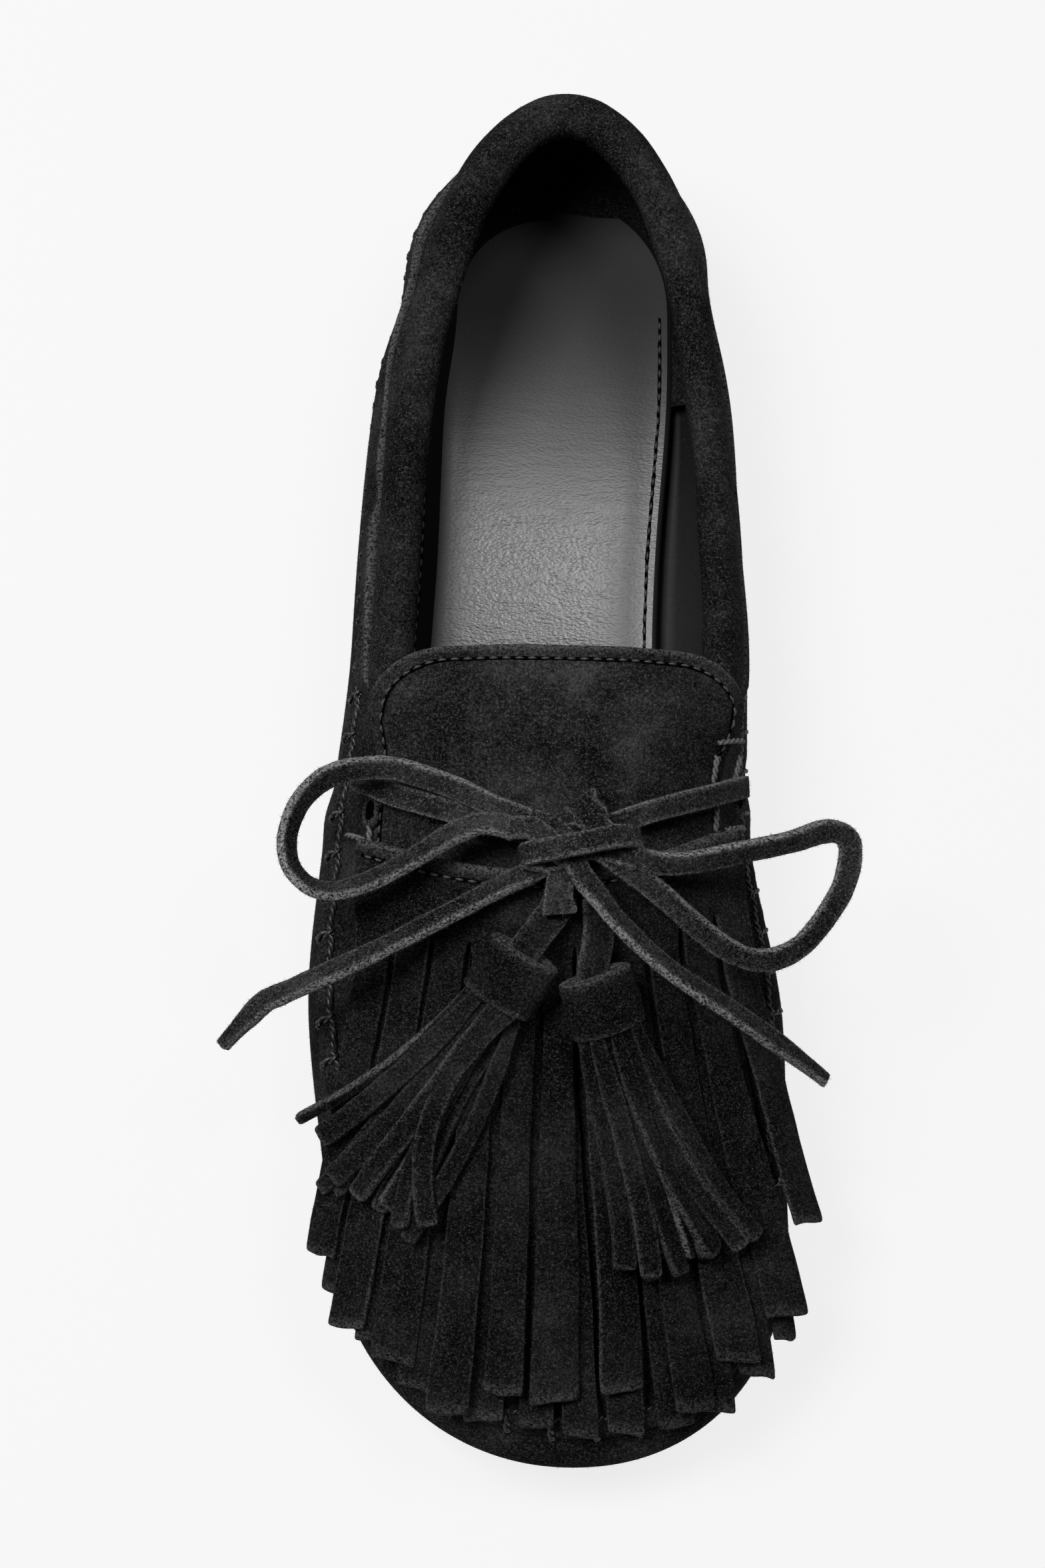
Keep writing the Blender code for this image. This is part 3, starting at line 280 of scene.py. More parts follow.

# The insole: how far its edges curl up the wall, the share of that on the medial side, where painted shade
# darkens it towards the heel, and its rows of faces along the rim that take the lining's dark finish as
# painted shade, on the lateral and the medial side. Each row has its inset in millimetres, its height, its
# share of the curl and how much painted shade darkens it.
INSOLE_CURL = 2.2 * MM
MEDIAL_CURL = 0.45
HEEL_SHADE = (-52 * MM, 6 * MM)
SHADED_EDGE_ROWS = (6, 3)
INSOLE_CLEAR = WALL + 0.8 * MM
INSOLE_ROWS = (
    (0.2, 0.2 * MM, 0.0, 0.8), (0.0, 0.6 * INSOLE_THICKNESS, 0.6, 0.8), (0.3, INSOLE_THICKNESS, 1.0, 0.8),
    (1.2, INSOLE_THICKNESS, 0.80, 0.8), (2.6, INSOLE_THICKNESS, 0.48, 0.8),
    (4.2, INSOLE_THICKNESS, 0.20, 0.8), (6.0, INSOLE_THICKNESS, 0.04, 0.8),
    (8.0, INSOLE_THICKNESS, 0.0, 0.3), (13, INSOLE_THICKNESS, 0.0, 0.0),
)

# Share of the collar roll's outer half that its suede keeps, and its dents: size in millimetres, and scale
COLLAR_SLIM = 0.68
COLLAR_DENTS = ((0.45, 90), (0.22, 260))

# The heel grip: its end along the shoe, its lap over the insole, and its rows. The first rows lie on the
# insole (inset and rise), the next on the wall and the last on the quarter (level and depth inside).
GRIP_END = 0.20
GRIP_LAP = 9.5 * MM
GRIP_FLOOR = ((1.2, 0.05), (1.0, 0.7), (0.4, 1.6))
GRIP_WALL = ((0.42, 3.6), (0.66, 3.2), (0.92, 3.0))
GRIP_QUARTER = ((0.25, 3.0), (0.55, 2.9), (0.82, 2.8))

# Mouths of the thong's holes: place in plan, height over the saddle, heading of the long way in degrees.
LACE_HOLES = (
    ((-34.0, -110.4), 1.2, 70),
    ((29.6, -106.0), 1.2, 105),
)

# Fringe: half width of the band at the slits as a share of the ball width, places across a strand, rows of
# the band above the slits, and steps down a strand.
BAND_HALF = 0.44
FRINGE_SPOTS = (-1.0, -0.9, -0.45, 0.0, 0.45, 0.9, 1.0)
BAND_ROWS = 5
STRAND_STEPS = 30

# Lower tassel strands, from the lowest layer up: count, layer, share of the fan's spread.
TASSEL_LAYERS = ((4, 0.0, 0.9), (4, 1.0, 1.1))
TASSEL_STEPS = 26

# Top strands of the tassels: where each ends in plan, its width and its sideways bow, in millimetres.
TOP_LATERAL = (
    (-49.0, -166.6, 1.9, 0.8), (-45.4, -169.8, 4.2, 0.6), (-42.6, -177.8, 4.4, 0.3),
    (-38.2, -181.2, 4.2, -0.2), (-30.4, -187.0, 3.4, -2.2), (-25.4, -187.2, 3.8, -4.4),
)
TOP_MEDIAL = (
    (9.2, -194.6, 4.2, 0.9), (14.8, -195.6, 4.0, 0.5), (20.0, -195.2, 4.0, 0.2), (25.8, -192.0, 3.2, -0.6),
    (31.0, -190.0, 3.6, -0.9), (34.4, -188.2, 3.2, -0.5),
)
STRAND_FULLNESS = 1.2
CAP_TILT = 3.2 * MM
CAP_STRIP = 1.2 * MM
CAP_TURNS = 2.0

# The nap's loose fibres
FIBRE_WIDTH = 0.07 * MM
NAP_REACH = 0.55 * MM
THONG_NAP_REACH = 0.75 * MM

# Stitches: the hand-sewn seam's pitch and its reach over each side in millimetres, in front and at the
# lateral rear, and the length, pitch and radius of the machine ones.
SEAM_PITCH = 7.6 * MM
SEAM_SWING = 2.0
SEAM_WIDE_SWING = 3.4
STITCH_LENGTH = 1.6 * MM
STITCH_PITCH = 2.3 * MM
STITCH_RADIUS = 0.27 * MM
THREAD_SIDES = 6

# Box-tack stitches beside the thong's holes: start and end in plan, and height over the saddle.
TACKS = (
    ((24.0, -97.6), (28.0, -96.0), 0.7),
    ((24.5, -99.8), (24.6, -104.6), 0.6),
    ((28.8, -98.4), (29.0, -103.4), 0.6),
    ((25.2, -108.5), (25.2, -113.6), 0.6),
    ((27.4, -112.8), (31.4, -111.2), 0.5),
    ((-34.6, -112.2), (-34.6, -116.2), 0.6),
    ((-38.4, -113.9), (-35.4, -115.6), 0.6),
)

# Camera: where the photograph was taken from, in millimetres, and its turns about X, Y and Z in degrees
CAMERA_PLACE = (-56.2, -256.3, 648.9)
CAMERA_ANGLES = (13.98, -4.45, -0.20)
CAMERA_LENS = 77.9
CAMERA_SENSOR = 36

# Studio: half the floor's side in metres, its tone and its own light, the world's light, and the two lamps,
# each with its place, target and size in metres and its power in watts.
FLOOR_REACH = 3.0
FLOOR_TONE = 0.08
FLOOR_GLOW = 0.82
WORLD_GLOW = 0.10
LAMPS = (
    ("key", (-0.50, 0.02, 1.10), (0.0, -0.10, 0.0), (0.42, 0.42), 16),
    ("gloss", (0.29, 0.17, 1.30), (0.02, -0.06, 0.0), (0.44, 0.36), 5.8),
)

# An up direction that no thread runs along
THREAD_UP = Vector((0.13, 0.21, 0.97))


def along(columns, rows, share, column):
    """A table's column at a share of the length, on a smooth curve through its rows."""
    k = columns.index(column)
    at = [row[0] for row in rows]
    value = [row[k] for row in rows]
    share = min(max(share, at[0]), at[-1])
    i = max(j for j in range(len(at) - 1) if at[j] <= share)
    step = at[i + 1] - at[i]
    u = (share - at[i]) / step
    rates = [(value[j + 1] - value[j]) / (at[j + 1] - at[j]) for j in range(len(at) - 1)]

    def slope(j):
        if j in (0, len(rates)):
            return rates[min(j, len(rates) - 1)]
        left, right = rates[j - 1], rates[j]
        return 2 * left * right / (left + right) if left * right > 0 else 0.0

    h00 = (1 + 2 * u) * (1 - u) ** 2
    h10 = u * (1 - u) ** 2
    h01 = u * u * (3 - 2 * u)
    h11 = u * u * (u - 1)
    return h00 * value[i] + h10 * step * slope(i) + h01 * value[i + 1] + h11 * step * slope(i + 1)


def section(share, column):
    return along(SECTION_COLUMNS, SECTIONS, share, column)


def centre_at(share):
    """The last's middle line across the shoe."""
    return section(share, "centre") * BALL_WIDTH


def foot_centre_at(share):
    return section(share, "foot_centre") * BALL_WIDTH


def ease(value, low, high):
    """0 below low, 1 above high, smooth between."""
    u = min(max((value - low) / (high - low), 0.0), 1.0)
    return u * u * (3 - 2 * u)


def blend(a, b, u):
    return a + (b - a) * u


def ripple(place, waves):
    """A sum of noises at a place: size and scale of each."""
    return sum(size * noise.noise(place * scale) for size, scale in waves)


BACK_Y = HEEL_RADIUS
HEEL_POLE = HEEL_RADIUS / LENGTH
TOE_POLE = 1 - TOE_RADIUS / LENGTH
TOE_SEAM_RADIUS = TOE_RADIUS - SEAM_INSET_TOE


def y_at(share):
    return BACK_Y - share * LENGTH


def share_at(y):
    return (BACK_Y - y) / LENGTH


def underside(share):
    """Height of the sole's lower face above the floor."""
    lift = along(UNDERSIDE_COLUMNS, UNDERSIDE, share, "lift")
    spring = along(UNDERSIDE_COLUMNS, UNDERSIDE, share, "spring")
    return lift * (HEEL_LIFT + GAP) + spring * TOE_SPRING


def sole_top(share):
    return underside(share) + SOLE_THICKNESS


class Column:
    """One place around the shoe. Side is -1 lateral, 1 medial and 0 at the two ends."""

    def __init__(self, side, share, across, out):
        self.side = side
        self.share = share
        self.across = across
        self.out = out
        self.heel = out > 0 and share < HEEL_POLE
        self.toe = out > 0 and not self.heel
        self.body = HEEL_POLE if self.heel else TOE_POLE if self.toe else share


def half_columns(side, finer=1):
    """Columns of one side, from the back to the toe, without the two end ones."""
    found = []
    for i in range(1, HEEL_STEPS * finer):
        a = math.radians(90 * (1 - i / (HEEL_STEPS * finer)))
        out = math.sin(a) ** (2 / CAP_POWER)
        found.append(Column(side, HEEL_POLE * (1 - out), math.cos(a) ** (2 / CAP_POWER), out))
    count = SIDE_STEPS * finer
    shares = [blend(HEEL_POLE, TOE_POLE, i / count) for i in range(count + 1)]
    nearest = min(range(len(shares)), key=lambda i: abs(shares[i] - THROAT_SHARE))
    shares[nearest] = THROAT_SHARE
    found += [Column(side, share, 1.0, 0.0) for share in shares]
    for i in range(1, TOE_STEPS * finer):
        a = math.radians(90 * i / (TOE_STEPS * finer))
        out = math.sin(a) ** (2 / CAP_POWER)
        found.append(Column(side, TOE_POLE + (1 - TOE_POLE) * out, math.cos(a) ** (2 / CAP_POWER), out))
    return found


BACK = Column(0, 0.0, 0.0, 1.0)
TIP = Column(0, 1.0, 0.0, 1.0)


def ring_of_columns(finer=1):
    return [BACK] + half_columns(-1, finer) + [TIP] + half_columns(1, finer)[::-1]


def ring_point(col, centre, half, heel_radius, toe_radius, z):
    """A point of a ring round the shoe at one column."""
    y = y_at(col.share)
    if col.heel:
        y = y_at(HEEL_POLE) + heel_radius * col.out
    if col.toe:
        y = y_at(TOE_POLE) - toe_radius * col.out
    return Vector((centre + col.side * half * col.across, y, z))


def foot_point(col, inset=0.0, lower=0.0):
    """A point at the foot's edge, where the upper meets the sole, moved inwards by inset."""
    centre = foot_centre_at(col.share)
    half = section(col.body, "foot_half") * BALL_WIDTH - inset
    heel = HEEL_RADIUS - HEEL_FOOT_INSET - inset
    toe = TOE_RADIUS - TOE_FOOT_INSET
    height = blend(sole_top(col.body), sole_top(col.share), 1 - inset / toe) - lower
    return ring_point(col, centre, half, heel, toe - inset, height)


def seam_half(share):
    return (section(share, "half") - section(share, "seam_inset")) * BALL_WIDTH


def seam_height(share):
    return sole_top(share) + section(share, "seam") * SEAM_RISE


def crown_top(share):
    return sole_top(share) + section(share, "crown") * INSTEP_RISE


def wall_point(col, level):
    """A point of the side wall: level 0 is the foot's edge and 1 the seam."""
    foot = foot_point(col, lower=-GAP)
    centre = centre_at(col.share)
    half = section(col.body, "half") * BALL_WIDTH
    widest = ring_point(col, centre, half, HEEL_RADIUS, TOE_RADIUS, 0)
    seam = ring_point(col, centre, seam_half(col.body), HEEL_RADIUS - HEEL_SEAM_INSET, TOE_SEAM_RADIUS, 0)
    if level <= WIDEST:
        u = math.sin(math.radians(90 * level / WIDEST))
        plan = foot.lerp(widest, u)
    else:
        u = 1 - math.cos(math.radians(90 * (level - WIDEST) / (1 - WIDEST)))
        plan = widest.lerp(seam, u)
    z = blend(foot.z, seam_height(col.share), level)
    return Vector((plan.x, plan.y, z))


def top_point(col):
    """The topline, where the quarter's wall ends. It narrows to the back from its own pole."""
    centre = along(TOPLINE_COLUMNS, TOPLINE, col.share, "centre") * BALL_WIDTH
    half = along(TOPLINE_COLUMNS, TOPLINE, col.share, "half") * BALL_WIDTH
    z = sole_top(col.share) + along(TOPLINE_COLUMNS, TOPLINE, col.share, "top") * BACK_RISE
    out = 1 - min(col.share / TOP_POLE, 1.0)
    across = (1 - out**TOP_CAP_POWER) ** (1 / TOP_CAP_POWER)
    return Vector((centre + col.side * half * across, y_at(col.share) - HEEL_TOP_INSET * out, z))


def toe_across(x, y):
    """How far a place lies from the apron's middle, with the seam at 1: in all, across and past the pole."""
    share = share_at(y)
    dx = abs(x - centre_at(share)) / seam_half(min(share, TOE_POLE))
    dy = max(y_at(TOE_POLE) - y, 0.0) / TOE_SEAM_RADIUS
    return (dx**CAP_POWER + dy**CAP_POWER) ** (1 / CAP_POWER), dx, dy


def crown_height(x, y):
    """Height of the vamp's crown over a place in plan. It falls on beyond the seam."""
    share = share_at(y)
    body = min(share, TOE_POLE)
    across, dx, dy = toe_across(x, y)
    if share <= TOE_POLE:
        across, seam = dx, seam_height(share)
    else:
        out = min(dy / max(across, 1e-6), 1.0)
        seam = seam_height(TOE_POLE + (1 - TOE_POLE) * out)
    return seam + (crown_top(body) - seam) * (1 - across ** section(body, "power"))


def crown_normal(x, y):
    step = 0.5 * MM
    dx = (crown_height(x + step, y) - crown_height(x - step, y)) / (2 * step)
    dy = (crown_height(x, y + step) - crown_height(x, y - step)) / (2 * step)
    return Vector((-dx, -dy, 1)).normalized()


def crown_point(x, y, lift=0.0):
    return Vector((x, y, crown_height(x, y))) + crown_normal(x, y) * lift


def apron_point(col, across):
    """A point of the apron on one column, from the seam at across 1 to the spine at 0."""
    centre = centre_at(col.share)
    body = TOE_POLE if col.toe else col.share
    low = seam_height(col.share)
    z = low + (crown_top(body) - low) * (1 - across ** section(body, "power"))
    if not col.toe:
        return Vector((centre + col.side * seam_half(body) * across, y_at(col.share), z))
    pole = Vector((centre_at(TOE_POLE), y_at(TOE_POLE), 0))
    plan = pole.lerp(ring_point(col, centre, seam_half(body), 0, TOE_SEAM_RADIUS, 0), across)
    return Vector((plan.x, plan.y, z))


def quarter_point(col, u):
    """A point between the seam and the topline, at the rear: up from the seam, then in to the top."""
    seam = wall_point(col, 1.0)
    top = top_point(col)
    turn = seam.lerp(top, 0.12)
    turn.z = blend(seam.z, top.z, 0.62)
    return seam * (1 - u) ** 2 + turn * 2 * u * (1 - u) + top * u * u


def tongue_lift(x, y):
    """Height of the tongue's upper face over the crown. It climbs over the collar roll's front ends."""
    share = share_at(y)
    across = abs(x - centre_at(share)) / seam_half(share)
    near = 1 - ease(share, THROAT_SHARE + 0.005, THROAT_SHARE + 0.06)
    return TONGUE_THICKNESS + LAYER_GAP + TONGUE_CLIMB * near * ease(across, 0.40, 0.84)


def on_tongue(x, y, lift):
    """A place over the saddle's upper face."""
    return crown_point(x, y, tongue_lift(x, y) + lift)


def kiltie_top_y(w):
    """The kiltie's upper edge: a smile across the vamp, higher on the medial side."""
    return y_at(KILTIE_TOP) + KILTIE_SMILE * w * w + KILTIE_SKEW * w


def kiltie_lift(y, layer):
    """Height of a fringe layer's upper face over the crown. It steps down past the tongue."""
    tongue = (TONGUE_THICKNESS + LAYER_GAP) * (1 - ease(share_at(y), TONGUE_END, TONGUE_END + 0.05))
    return tongue + LAYER_GAP + FRINGE_THICKNESS + layer * (FRINGE_THICKNESS + FRINGE_GAP)


def over_seam(x, y):
    """Extra height where a strand crosses the raised seam."""
    return (SEAM_RIDGE + LAYER_GAP) * ease(toe_across(x, y)[0], 0.70, 0.90)


def cover_lift(y):
    """Height of the kiltie's upper layer over the crown, where the tassels lie."""
    return kiltie_lift(y, 1) + FRINGE_GAP


# Materials


class Shader:
    """A Principled material under construction, with short ways to add its nodes."""

    def __init__(self, name, roughness, specular=0.5):
        self.material = bpy.data.materials.new(name)
        self.material.use_nodes = True
        self.tree = self.material.node_tree
        self.principled = self.tree.nodes["Principled BSDF"]
        self.set("Roughness", roughness)
        self.set("Specular IOR Level", specular)
        self.place = self.tree.nodes.new("ShaderNodeTexCoord").outputs["Object"]

    def set(self, name, value):
        """Sets a socket of the shader to a constant, or links it to another socket."""
        self.feed(self.principled.inputs[name], value)

    def feed(self, socket, value):
        if isinstance(value, bpy.types.NodeSocket):
            self.tree.links.new(value, socket)
        elif isinstance(value, tuple) and socket.type == "RGBA":
            socket.default_value = (*value, 1.0)
        else:
            socket.default_value = value

    def add(self, kind, **inputs):
        """A new node, with its named inputs set or linked."""
        node = self.tree.nodes.new("ShaderNode" + kind)
        for name, value in inputs.items():
            self.feed(node.inputs[name], value)
        return node

    def noise(self, scale, detail, roughness, stretch=None):
        source = self.place
        if stretch:
            source = self.add("Mapping", Scale=stretch, Vector=source).outputs["Vector"]
        node = self.add("TexNoise", Scale=scale, Detail=detail, Roughness=roughness, Vector=source)
        return node.outputs["Fac"]

    def attribute(self, name):
        node = self.add("Attribute")
        node.attribute_name = name
        return node.outputs["Fac"]

    def math(self, operation, a, b):
        node = self.add("Math")
        node.operation = operation
        for socket, value in zip(node.inputs, (a, b)):
            self.feed(socket, value)
        return node.outputs["Value"]

    def ramp(self, source, *stops):
        """Greys along a ramp: a position and a tone for each stop."""
        node = self.add("ValToRGB", Fac=source)
        ramp = node.color_ramp
        while len(ramp.elements) < len(stops):
            ramp.elements.new(0.5)
        for element, (position, tone) in zip(ramp.elements, stops):
            element.position = position
            element.color = (*grey(tone), 1.0)
        return node.outputs["Color"]

    def mix(self, factor, a, b):
        node = self.add("Mix")
        node.data_type = "RGBA"
        for socket, value in zip((node.inputs["Factor"], node.inputs[6], node.inputs[7]), (factor, a, b)):
            self.feed(socket, value)
        return node.outputs[2]

    def bump(self, height, strength, distance, before=None):
        node = self.add("Bump", Strength=strength, Distance=distance, Height=height)
        if before:
            self.feed(node.inputs["Normal"], before)
        return node.outputs["Normal"]


def grey(tone):
    return (tone, tone, tone)


def suede(name, dark=0.0012, light=0.030, speck=0.09, fuzz=0.09, clouds=55):
    """Black suede: a cloudy nap with light fibre specks, and cut edges that catch the light."""
    s = Shader(name, roughness=1.0, specular=0.04)
    cloud = s.noise(clouds, 4, 0.6)
    mottle = s.noise(520, 3, 0.7)
    nap = s.noise(2000, 3, 0.8)
    fibre = s.noise(4300, 1, 0.6)
    tone = s.math("ADD", s.math("MULTIPLY", cloud, 0.42), s.math("MULTIPLY", mottle, 0.16))
    tone = s.math("ADD", tone, s.math("MULTIPLY", nap, 0.46))
    colour = s.ramp(tone, (0.44, dark), (0.54, blend(dark, light, 0.32)), (0.64, light))
    flecks = s.math("ADD", s.math("MULTIPLY", nap, 0.55), s.math("MULTIPLY", fibre, 0.5))
    flecks = s.ramp(flecks, (0.56, 0.0), (0.70, 1.0))
    colour = s.mix(s.math("MULTIPLY", flecks, 0.6), colour, grey(speck))
    edge = s.math("MULTIPLY", s.attribute("edge"), s.ramp(nap, (0.40, 0.0), (0.60, 1.0)))
    s.set("Base Color", s.mix(edge, colour, grey(fuzz)))
    soft = s.bump(mottle, 0.5, 0.8 * MM)
    s.set("Normal", s.bump(nap, 0.9, 0.45 * MM, soft))
    return s.material


def smooth_leather(name, tone, roughness, grain, depth, specular=0.85):
    """Black leather with a fine pebbled grain and shallow wrinkles, rougher and darker where it is marked
    "edge": painted shade where it lies on the insole, dull cut edges elsewhere.
    """
    s = Shader(name, roughness, specular)
    pebbles = s.noise(grain, 2, 0.4, stretch=(0.8, 1.5, 1.0))
    pores = s.noise(grain * 1.7, 2, 0.5)
    cloud = s.noise(30, 3, 0.5)
    wrinkles = s.noise(240, 2, 0.6, stretch=(0.30, 1.7, 1.0))
    colour = s.ramp(cloud, (0.3, tone * 0.7), (0.7, tone * 1.3))
    # Where it is marked, the colour is darkened as painted shade (on the insole) and the finish made rougher.
    dull_and_shade = s.attribute("edge")
    s.set("Base Color", s.mix(dull_and_shade, colour, grey(tone * 0.25)))
    rough = s.math("ADD", roughness - 0.04, s.math("MULTIPLY", pores, 0.08))
    s.set("Roughness", s.math("ADD", rough, s.math("MULTIPLY", dull_and_shade, 0.62)))
    creased = s.bump(wrinkles, 0.20, 0.5 * MM)
    fine = s.bump(pores, 0.12, 0.08 * MM, creased)
    s.set("Normal", s.bump(pebbles, depth, 0.12 * MM, fine))
    return s.material


def speckled(name, roughness, specular, scale, softness, dark, light, bump=None):
    """A finish with specks in two greys, each a place on the ramp and a tone, and a fine bump."""
    s = Shader(name, roughness, specular)
    specks = s.noise(scale, 2, softness)
    s.set("Base Color", s.ramp(specks, dark, light))
    if bump:
        s.set("Normal", s.bump(specks, *bump))
    return s.material


def thread(name, tone, roughness, specular):
    """Waxed thread, with its fibres as a bump."""
    dark, light = (0.3, tone * 0.5), (0.7, tone * 1.3)
    return speckled(name, roughness, specular, 3000, 0.5, dark, light, (0.4, 0.1 * MM))


def floor_paint():
    """A pale backdrop lit from within, so that the shoe leaves only a faint shadow on it."""
    s = Shader("backdrop", roughness=0.9, specular=0.1)
    s.set("Base Color", grey(FLOOR_TONE))
    s.set("Emission Color", grey(1.0))
    s.set("Emission Strength", FLOOR_GLOW)
    return s.material


SUEDE = suede("black_suede")
TONGUE_SUEDE = suede("brushed_suede", dark=0.0020, light=0.040, clouds=75)
FRINGE_SUEDE = suede("fringe_suede", dark=0.0007, light=0.018, speck=0.065, fuzz=0.10)
THONG_SUEDE = suede("thong_suede", dark=0.0016, light=0.038, speck=0.15, fuzz=0.24)
GRIP_SUEDE = suede("grip_suede", dark=0.001, light=0.016, speck=0.06, fuzz=0.05)
NAP_FIBRE = speckled("nap_fibre", 1.0, 0.05, 900, 0.6, (0.35, 0.012), (0.65, 0.065))
INSOLE_LEATHER = smooth_leather("insole_leather", tone=0.007, roughness=0.28, grain=1700, depth=0.6)
LINING = smooth_leather("lining_leather", tone=0.003, roughness=0.6, grain=1100, depth=0.2, specular=0.2)
SOLE_RUBBER = speckled("sole_rubber", 0.62, 0.5, 1400, 0.6, (0.35, 0.010), (0.65, 0.020), (0.2, 0.2 * MM))
# Near-black painted shade, for the floors of the thong's holes and the channels under the machine stitches.
PAINTED_SHADE = thread("painted_shade", tone=0.0012, roughness=1.0, specular=0.0)
SEAM_THREAD = thread("seam_thread", tone=0.006, roughness=0.42, specular=0.5)
FINE_THREAD = thread("fine_thread", tone=0.040, roughness=0.6, specular=0.3)
TACK_THREAD = thread("tack_thread", tone=0.09, roughness=0.7, specular=0.2)


# Mesh helpers


def new_mesh():
    """An empty mesh with the layer that marks cut edges, and on the insole its painted shade."""
    bm = bmesh.new()
    return bm, bm.verts.layers.float.new("edge")


def add_face(bm, corners, index=0):
    """A face from corners, leaving out any that are the same."""
    kept = [v for i, v in enumerate(corners) if v is not corners[i - 1]]
    if len(kept) > 2:
        face = bm.faces.new(kept)
        face.material_index = index


def add_skin(bm, lines, index=0):
    """Closes a tube's side: faces all round between its rings."""
    for a, b in zip(lines, lines[1:]):
        for k in range(len(a)):
            j = (k + 1) % len(a)
            add_face(bm, [a[k], a[j], b[j], b[k]], index)


def add_ends(bm, lines, index=0):
    add_face(bm, lines[0][::-1], index)
    add_face(bm, lines[-1], index)


def add_sheet(bm, lines):
    """An open sheet between lines of places."""
    for a, b in zip(lines, lines[1:]):
        for k in range(len(a) - 1):
            add_face(bm, [a[k], b[k], b[k + 1], a[k + 1]])


def thicken(bm, edge, depth, lifts=None, back_index=0, mark=True):
    """Closes a sheet into a wall that reaches depth behind it, and marks its cut edges."""
    bm.normal_update()
    front = list(bm.verts)
    normal = {v: v.normal.copy() for v in front}
    behind = {}
    for v in front:
        behind[v] = bm.verts.new(v.co - normal[v] * depth)
        behind[v][edge] = v[edge]
    faces = list(bm.faces)
    rim = [e.link_loops[0] for e in bm.edges if len(e.link_faces) == 1]
    rim = [(loop.vert, loop.link_loop_next.vert) for loop in rim]
    for face in faces:
        made = bm.faces.new([behind[v] for v in reversed(face.verts)])
        made.material_index = back_index
    for a, b in rim:
        bm.faces.new([b, a, behind[a], behind[b]])
        if mark:
            for v in (a, b, behind[a], behind[b]):
                v[edge] = 1.0
    for v, lift in (lifts or {}).items():
        v.co += normal[v] * lift


def new_object(name, data):
    made = bpy.data.objects.new(name, data)
    bpy.context.scene.collection.objects.link(made)
    return made


def piece(name, bm, materials, replaced=(), levels=0):
    """Turns a mesh into a piece that rides on the shoe."""
    bmesh.ops.recalc_face_normals(bm, faces=bm.faces)
    mesh = bpy.data.meshes.new(name)
    bm.to_mesh(mesh)
    bm.free()
    for material in materials:
        mesh.materials.append(material)
    mesh.shade_smooth()
    made = new_object(name, mesh)
    if levels:
        smooth = made.modifiers.new("smooth", "SUBSURF")
        smooth.levels = smooth.render_levels = levels
    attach(made, ROOT)
    if replaced:
        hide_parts(*replaced)
    return made


def frames_along(places, ups=None):
    """Tangent, side and up at each place."""
    found = []
    for i in range(len(places)):
        tangent = (places[min(i + 1, len(places) - 1)] - places[max(i - 1, 0)]).normalized()
        up = ups[i] if ups else Vector((0, 0, 1))
        side = tangent.cross(up).normalized()
        found.append((tangent, side, side.cross(tangent).normalized()))
    return found


# A soft strip's section, as shares of its half width and half thickness, and the roughness of its sides
RIBBON_WAVES = ((0.16, 900), (0.14, 260))
RIBBON_PROFILE = (
    (-1, -0.6), (-1, 0.6), (-0.94, 1.0), (-0.8, 1.04), (0.8, 1.04), (0.94, 1.0),
    (1, 0.6), (1, -0.6), (0.94, -1.0), (0.8, -1.04), (-0.8, -1.04), (-0.94, -1.0),
)


def add_ribbon(bm, edge, places, width, thickness, turns=None, ups=None, taper=None, index=0, fuzz=1.0):
    """A soft flat strip along places. Turns lean its flat side in degrees, taper scales its width."""
    lines = []
    for i, (place, (tangent, side, up)) in enumerate(zip(places, frames_along(places, ups))):
        a = math.radians(turns[i]) if turns else 0.0
        wide = side * math.cos(a) + up * math.sin(a)
        thick = tangent.cross(wide).normalized()
        half = width / 2 * (taper[i] if taper else 1.0)
        line = []
        for p, q in RIBBON_PROFILE:
            at = place + wide * half * p + thick * thickness / 2 * q
            rough = ripple(at, RIBBON_WAVES)
            at += wide * rough * MM * (1 if p > 0 else -1) * abs(p) ** 3
            if i == len(places) - 1:
                at += tangent * noise.noise(at * 650) * 0.9 * MM
            v = bm.verts.new(at)
            v[edge] = fuzz if abs(p) == 1 else 0.55 * fuzz if abs(p) > 0.9 else 0.0
            line.append(v)
        lines.append(line)
    add_skin(bm, lines, index)
    add_ends(bm, lines, index)
    for v in lines[0] + lines[-1]:
        v[edge] = fuzz


def add_tube(bm, places, radius):
    """A closed round tube along places, with rounded ends."""
    lines = []
    frames = frames_along(places, [THREAD_UP] * len(places))
    turns = [2 * math.pi * k / THREAD_SIDES for k in range(THREAD_SIDES)]
    last = len(places) - 1
    for i, (place, (_, side, up)) in enumerate(zip(places, frames)):
        r = radius * (0.6 if i in (0, last) else 1.0)
        ring = [side * math.cos(a) + up * math.sin(a) for a in turns]
        lines.append([bm.verts.new(place + v * r) for v in ring])
    add_skin(bm, lines)
    add_ends(bm, lines)


def add_twist(bm, places, radius):
    """A thread of two twisted plies along places."""
    travel = [0.0]
    for a, b in zip(places, places[1:]):
        travel.append(travel[-1] + (b - a).length)
    frames = frames_along(places, [THREAD_UP] * len(places))
    for ply in (0.0, math.pi):
        line = []
        for place, way, (_, side, up) in zip(places, travel, frames):
            a = ply + 2 * math.pi * way / (5.2 * radius)
            line.append(place + (side * math.cos(a) + up * math.sin(a)) * radius * 0.52)
        add_tube(bm, line, radius * 0.56)


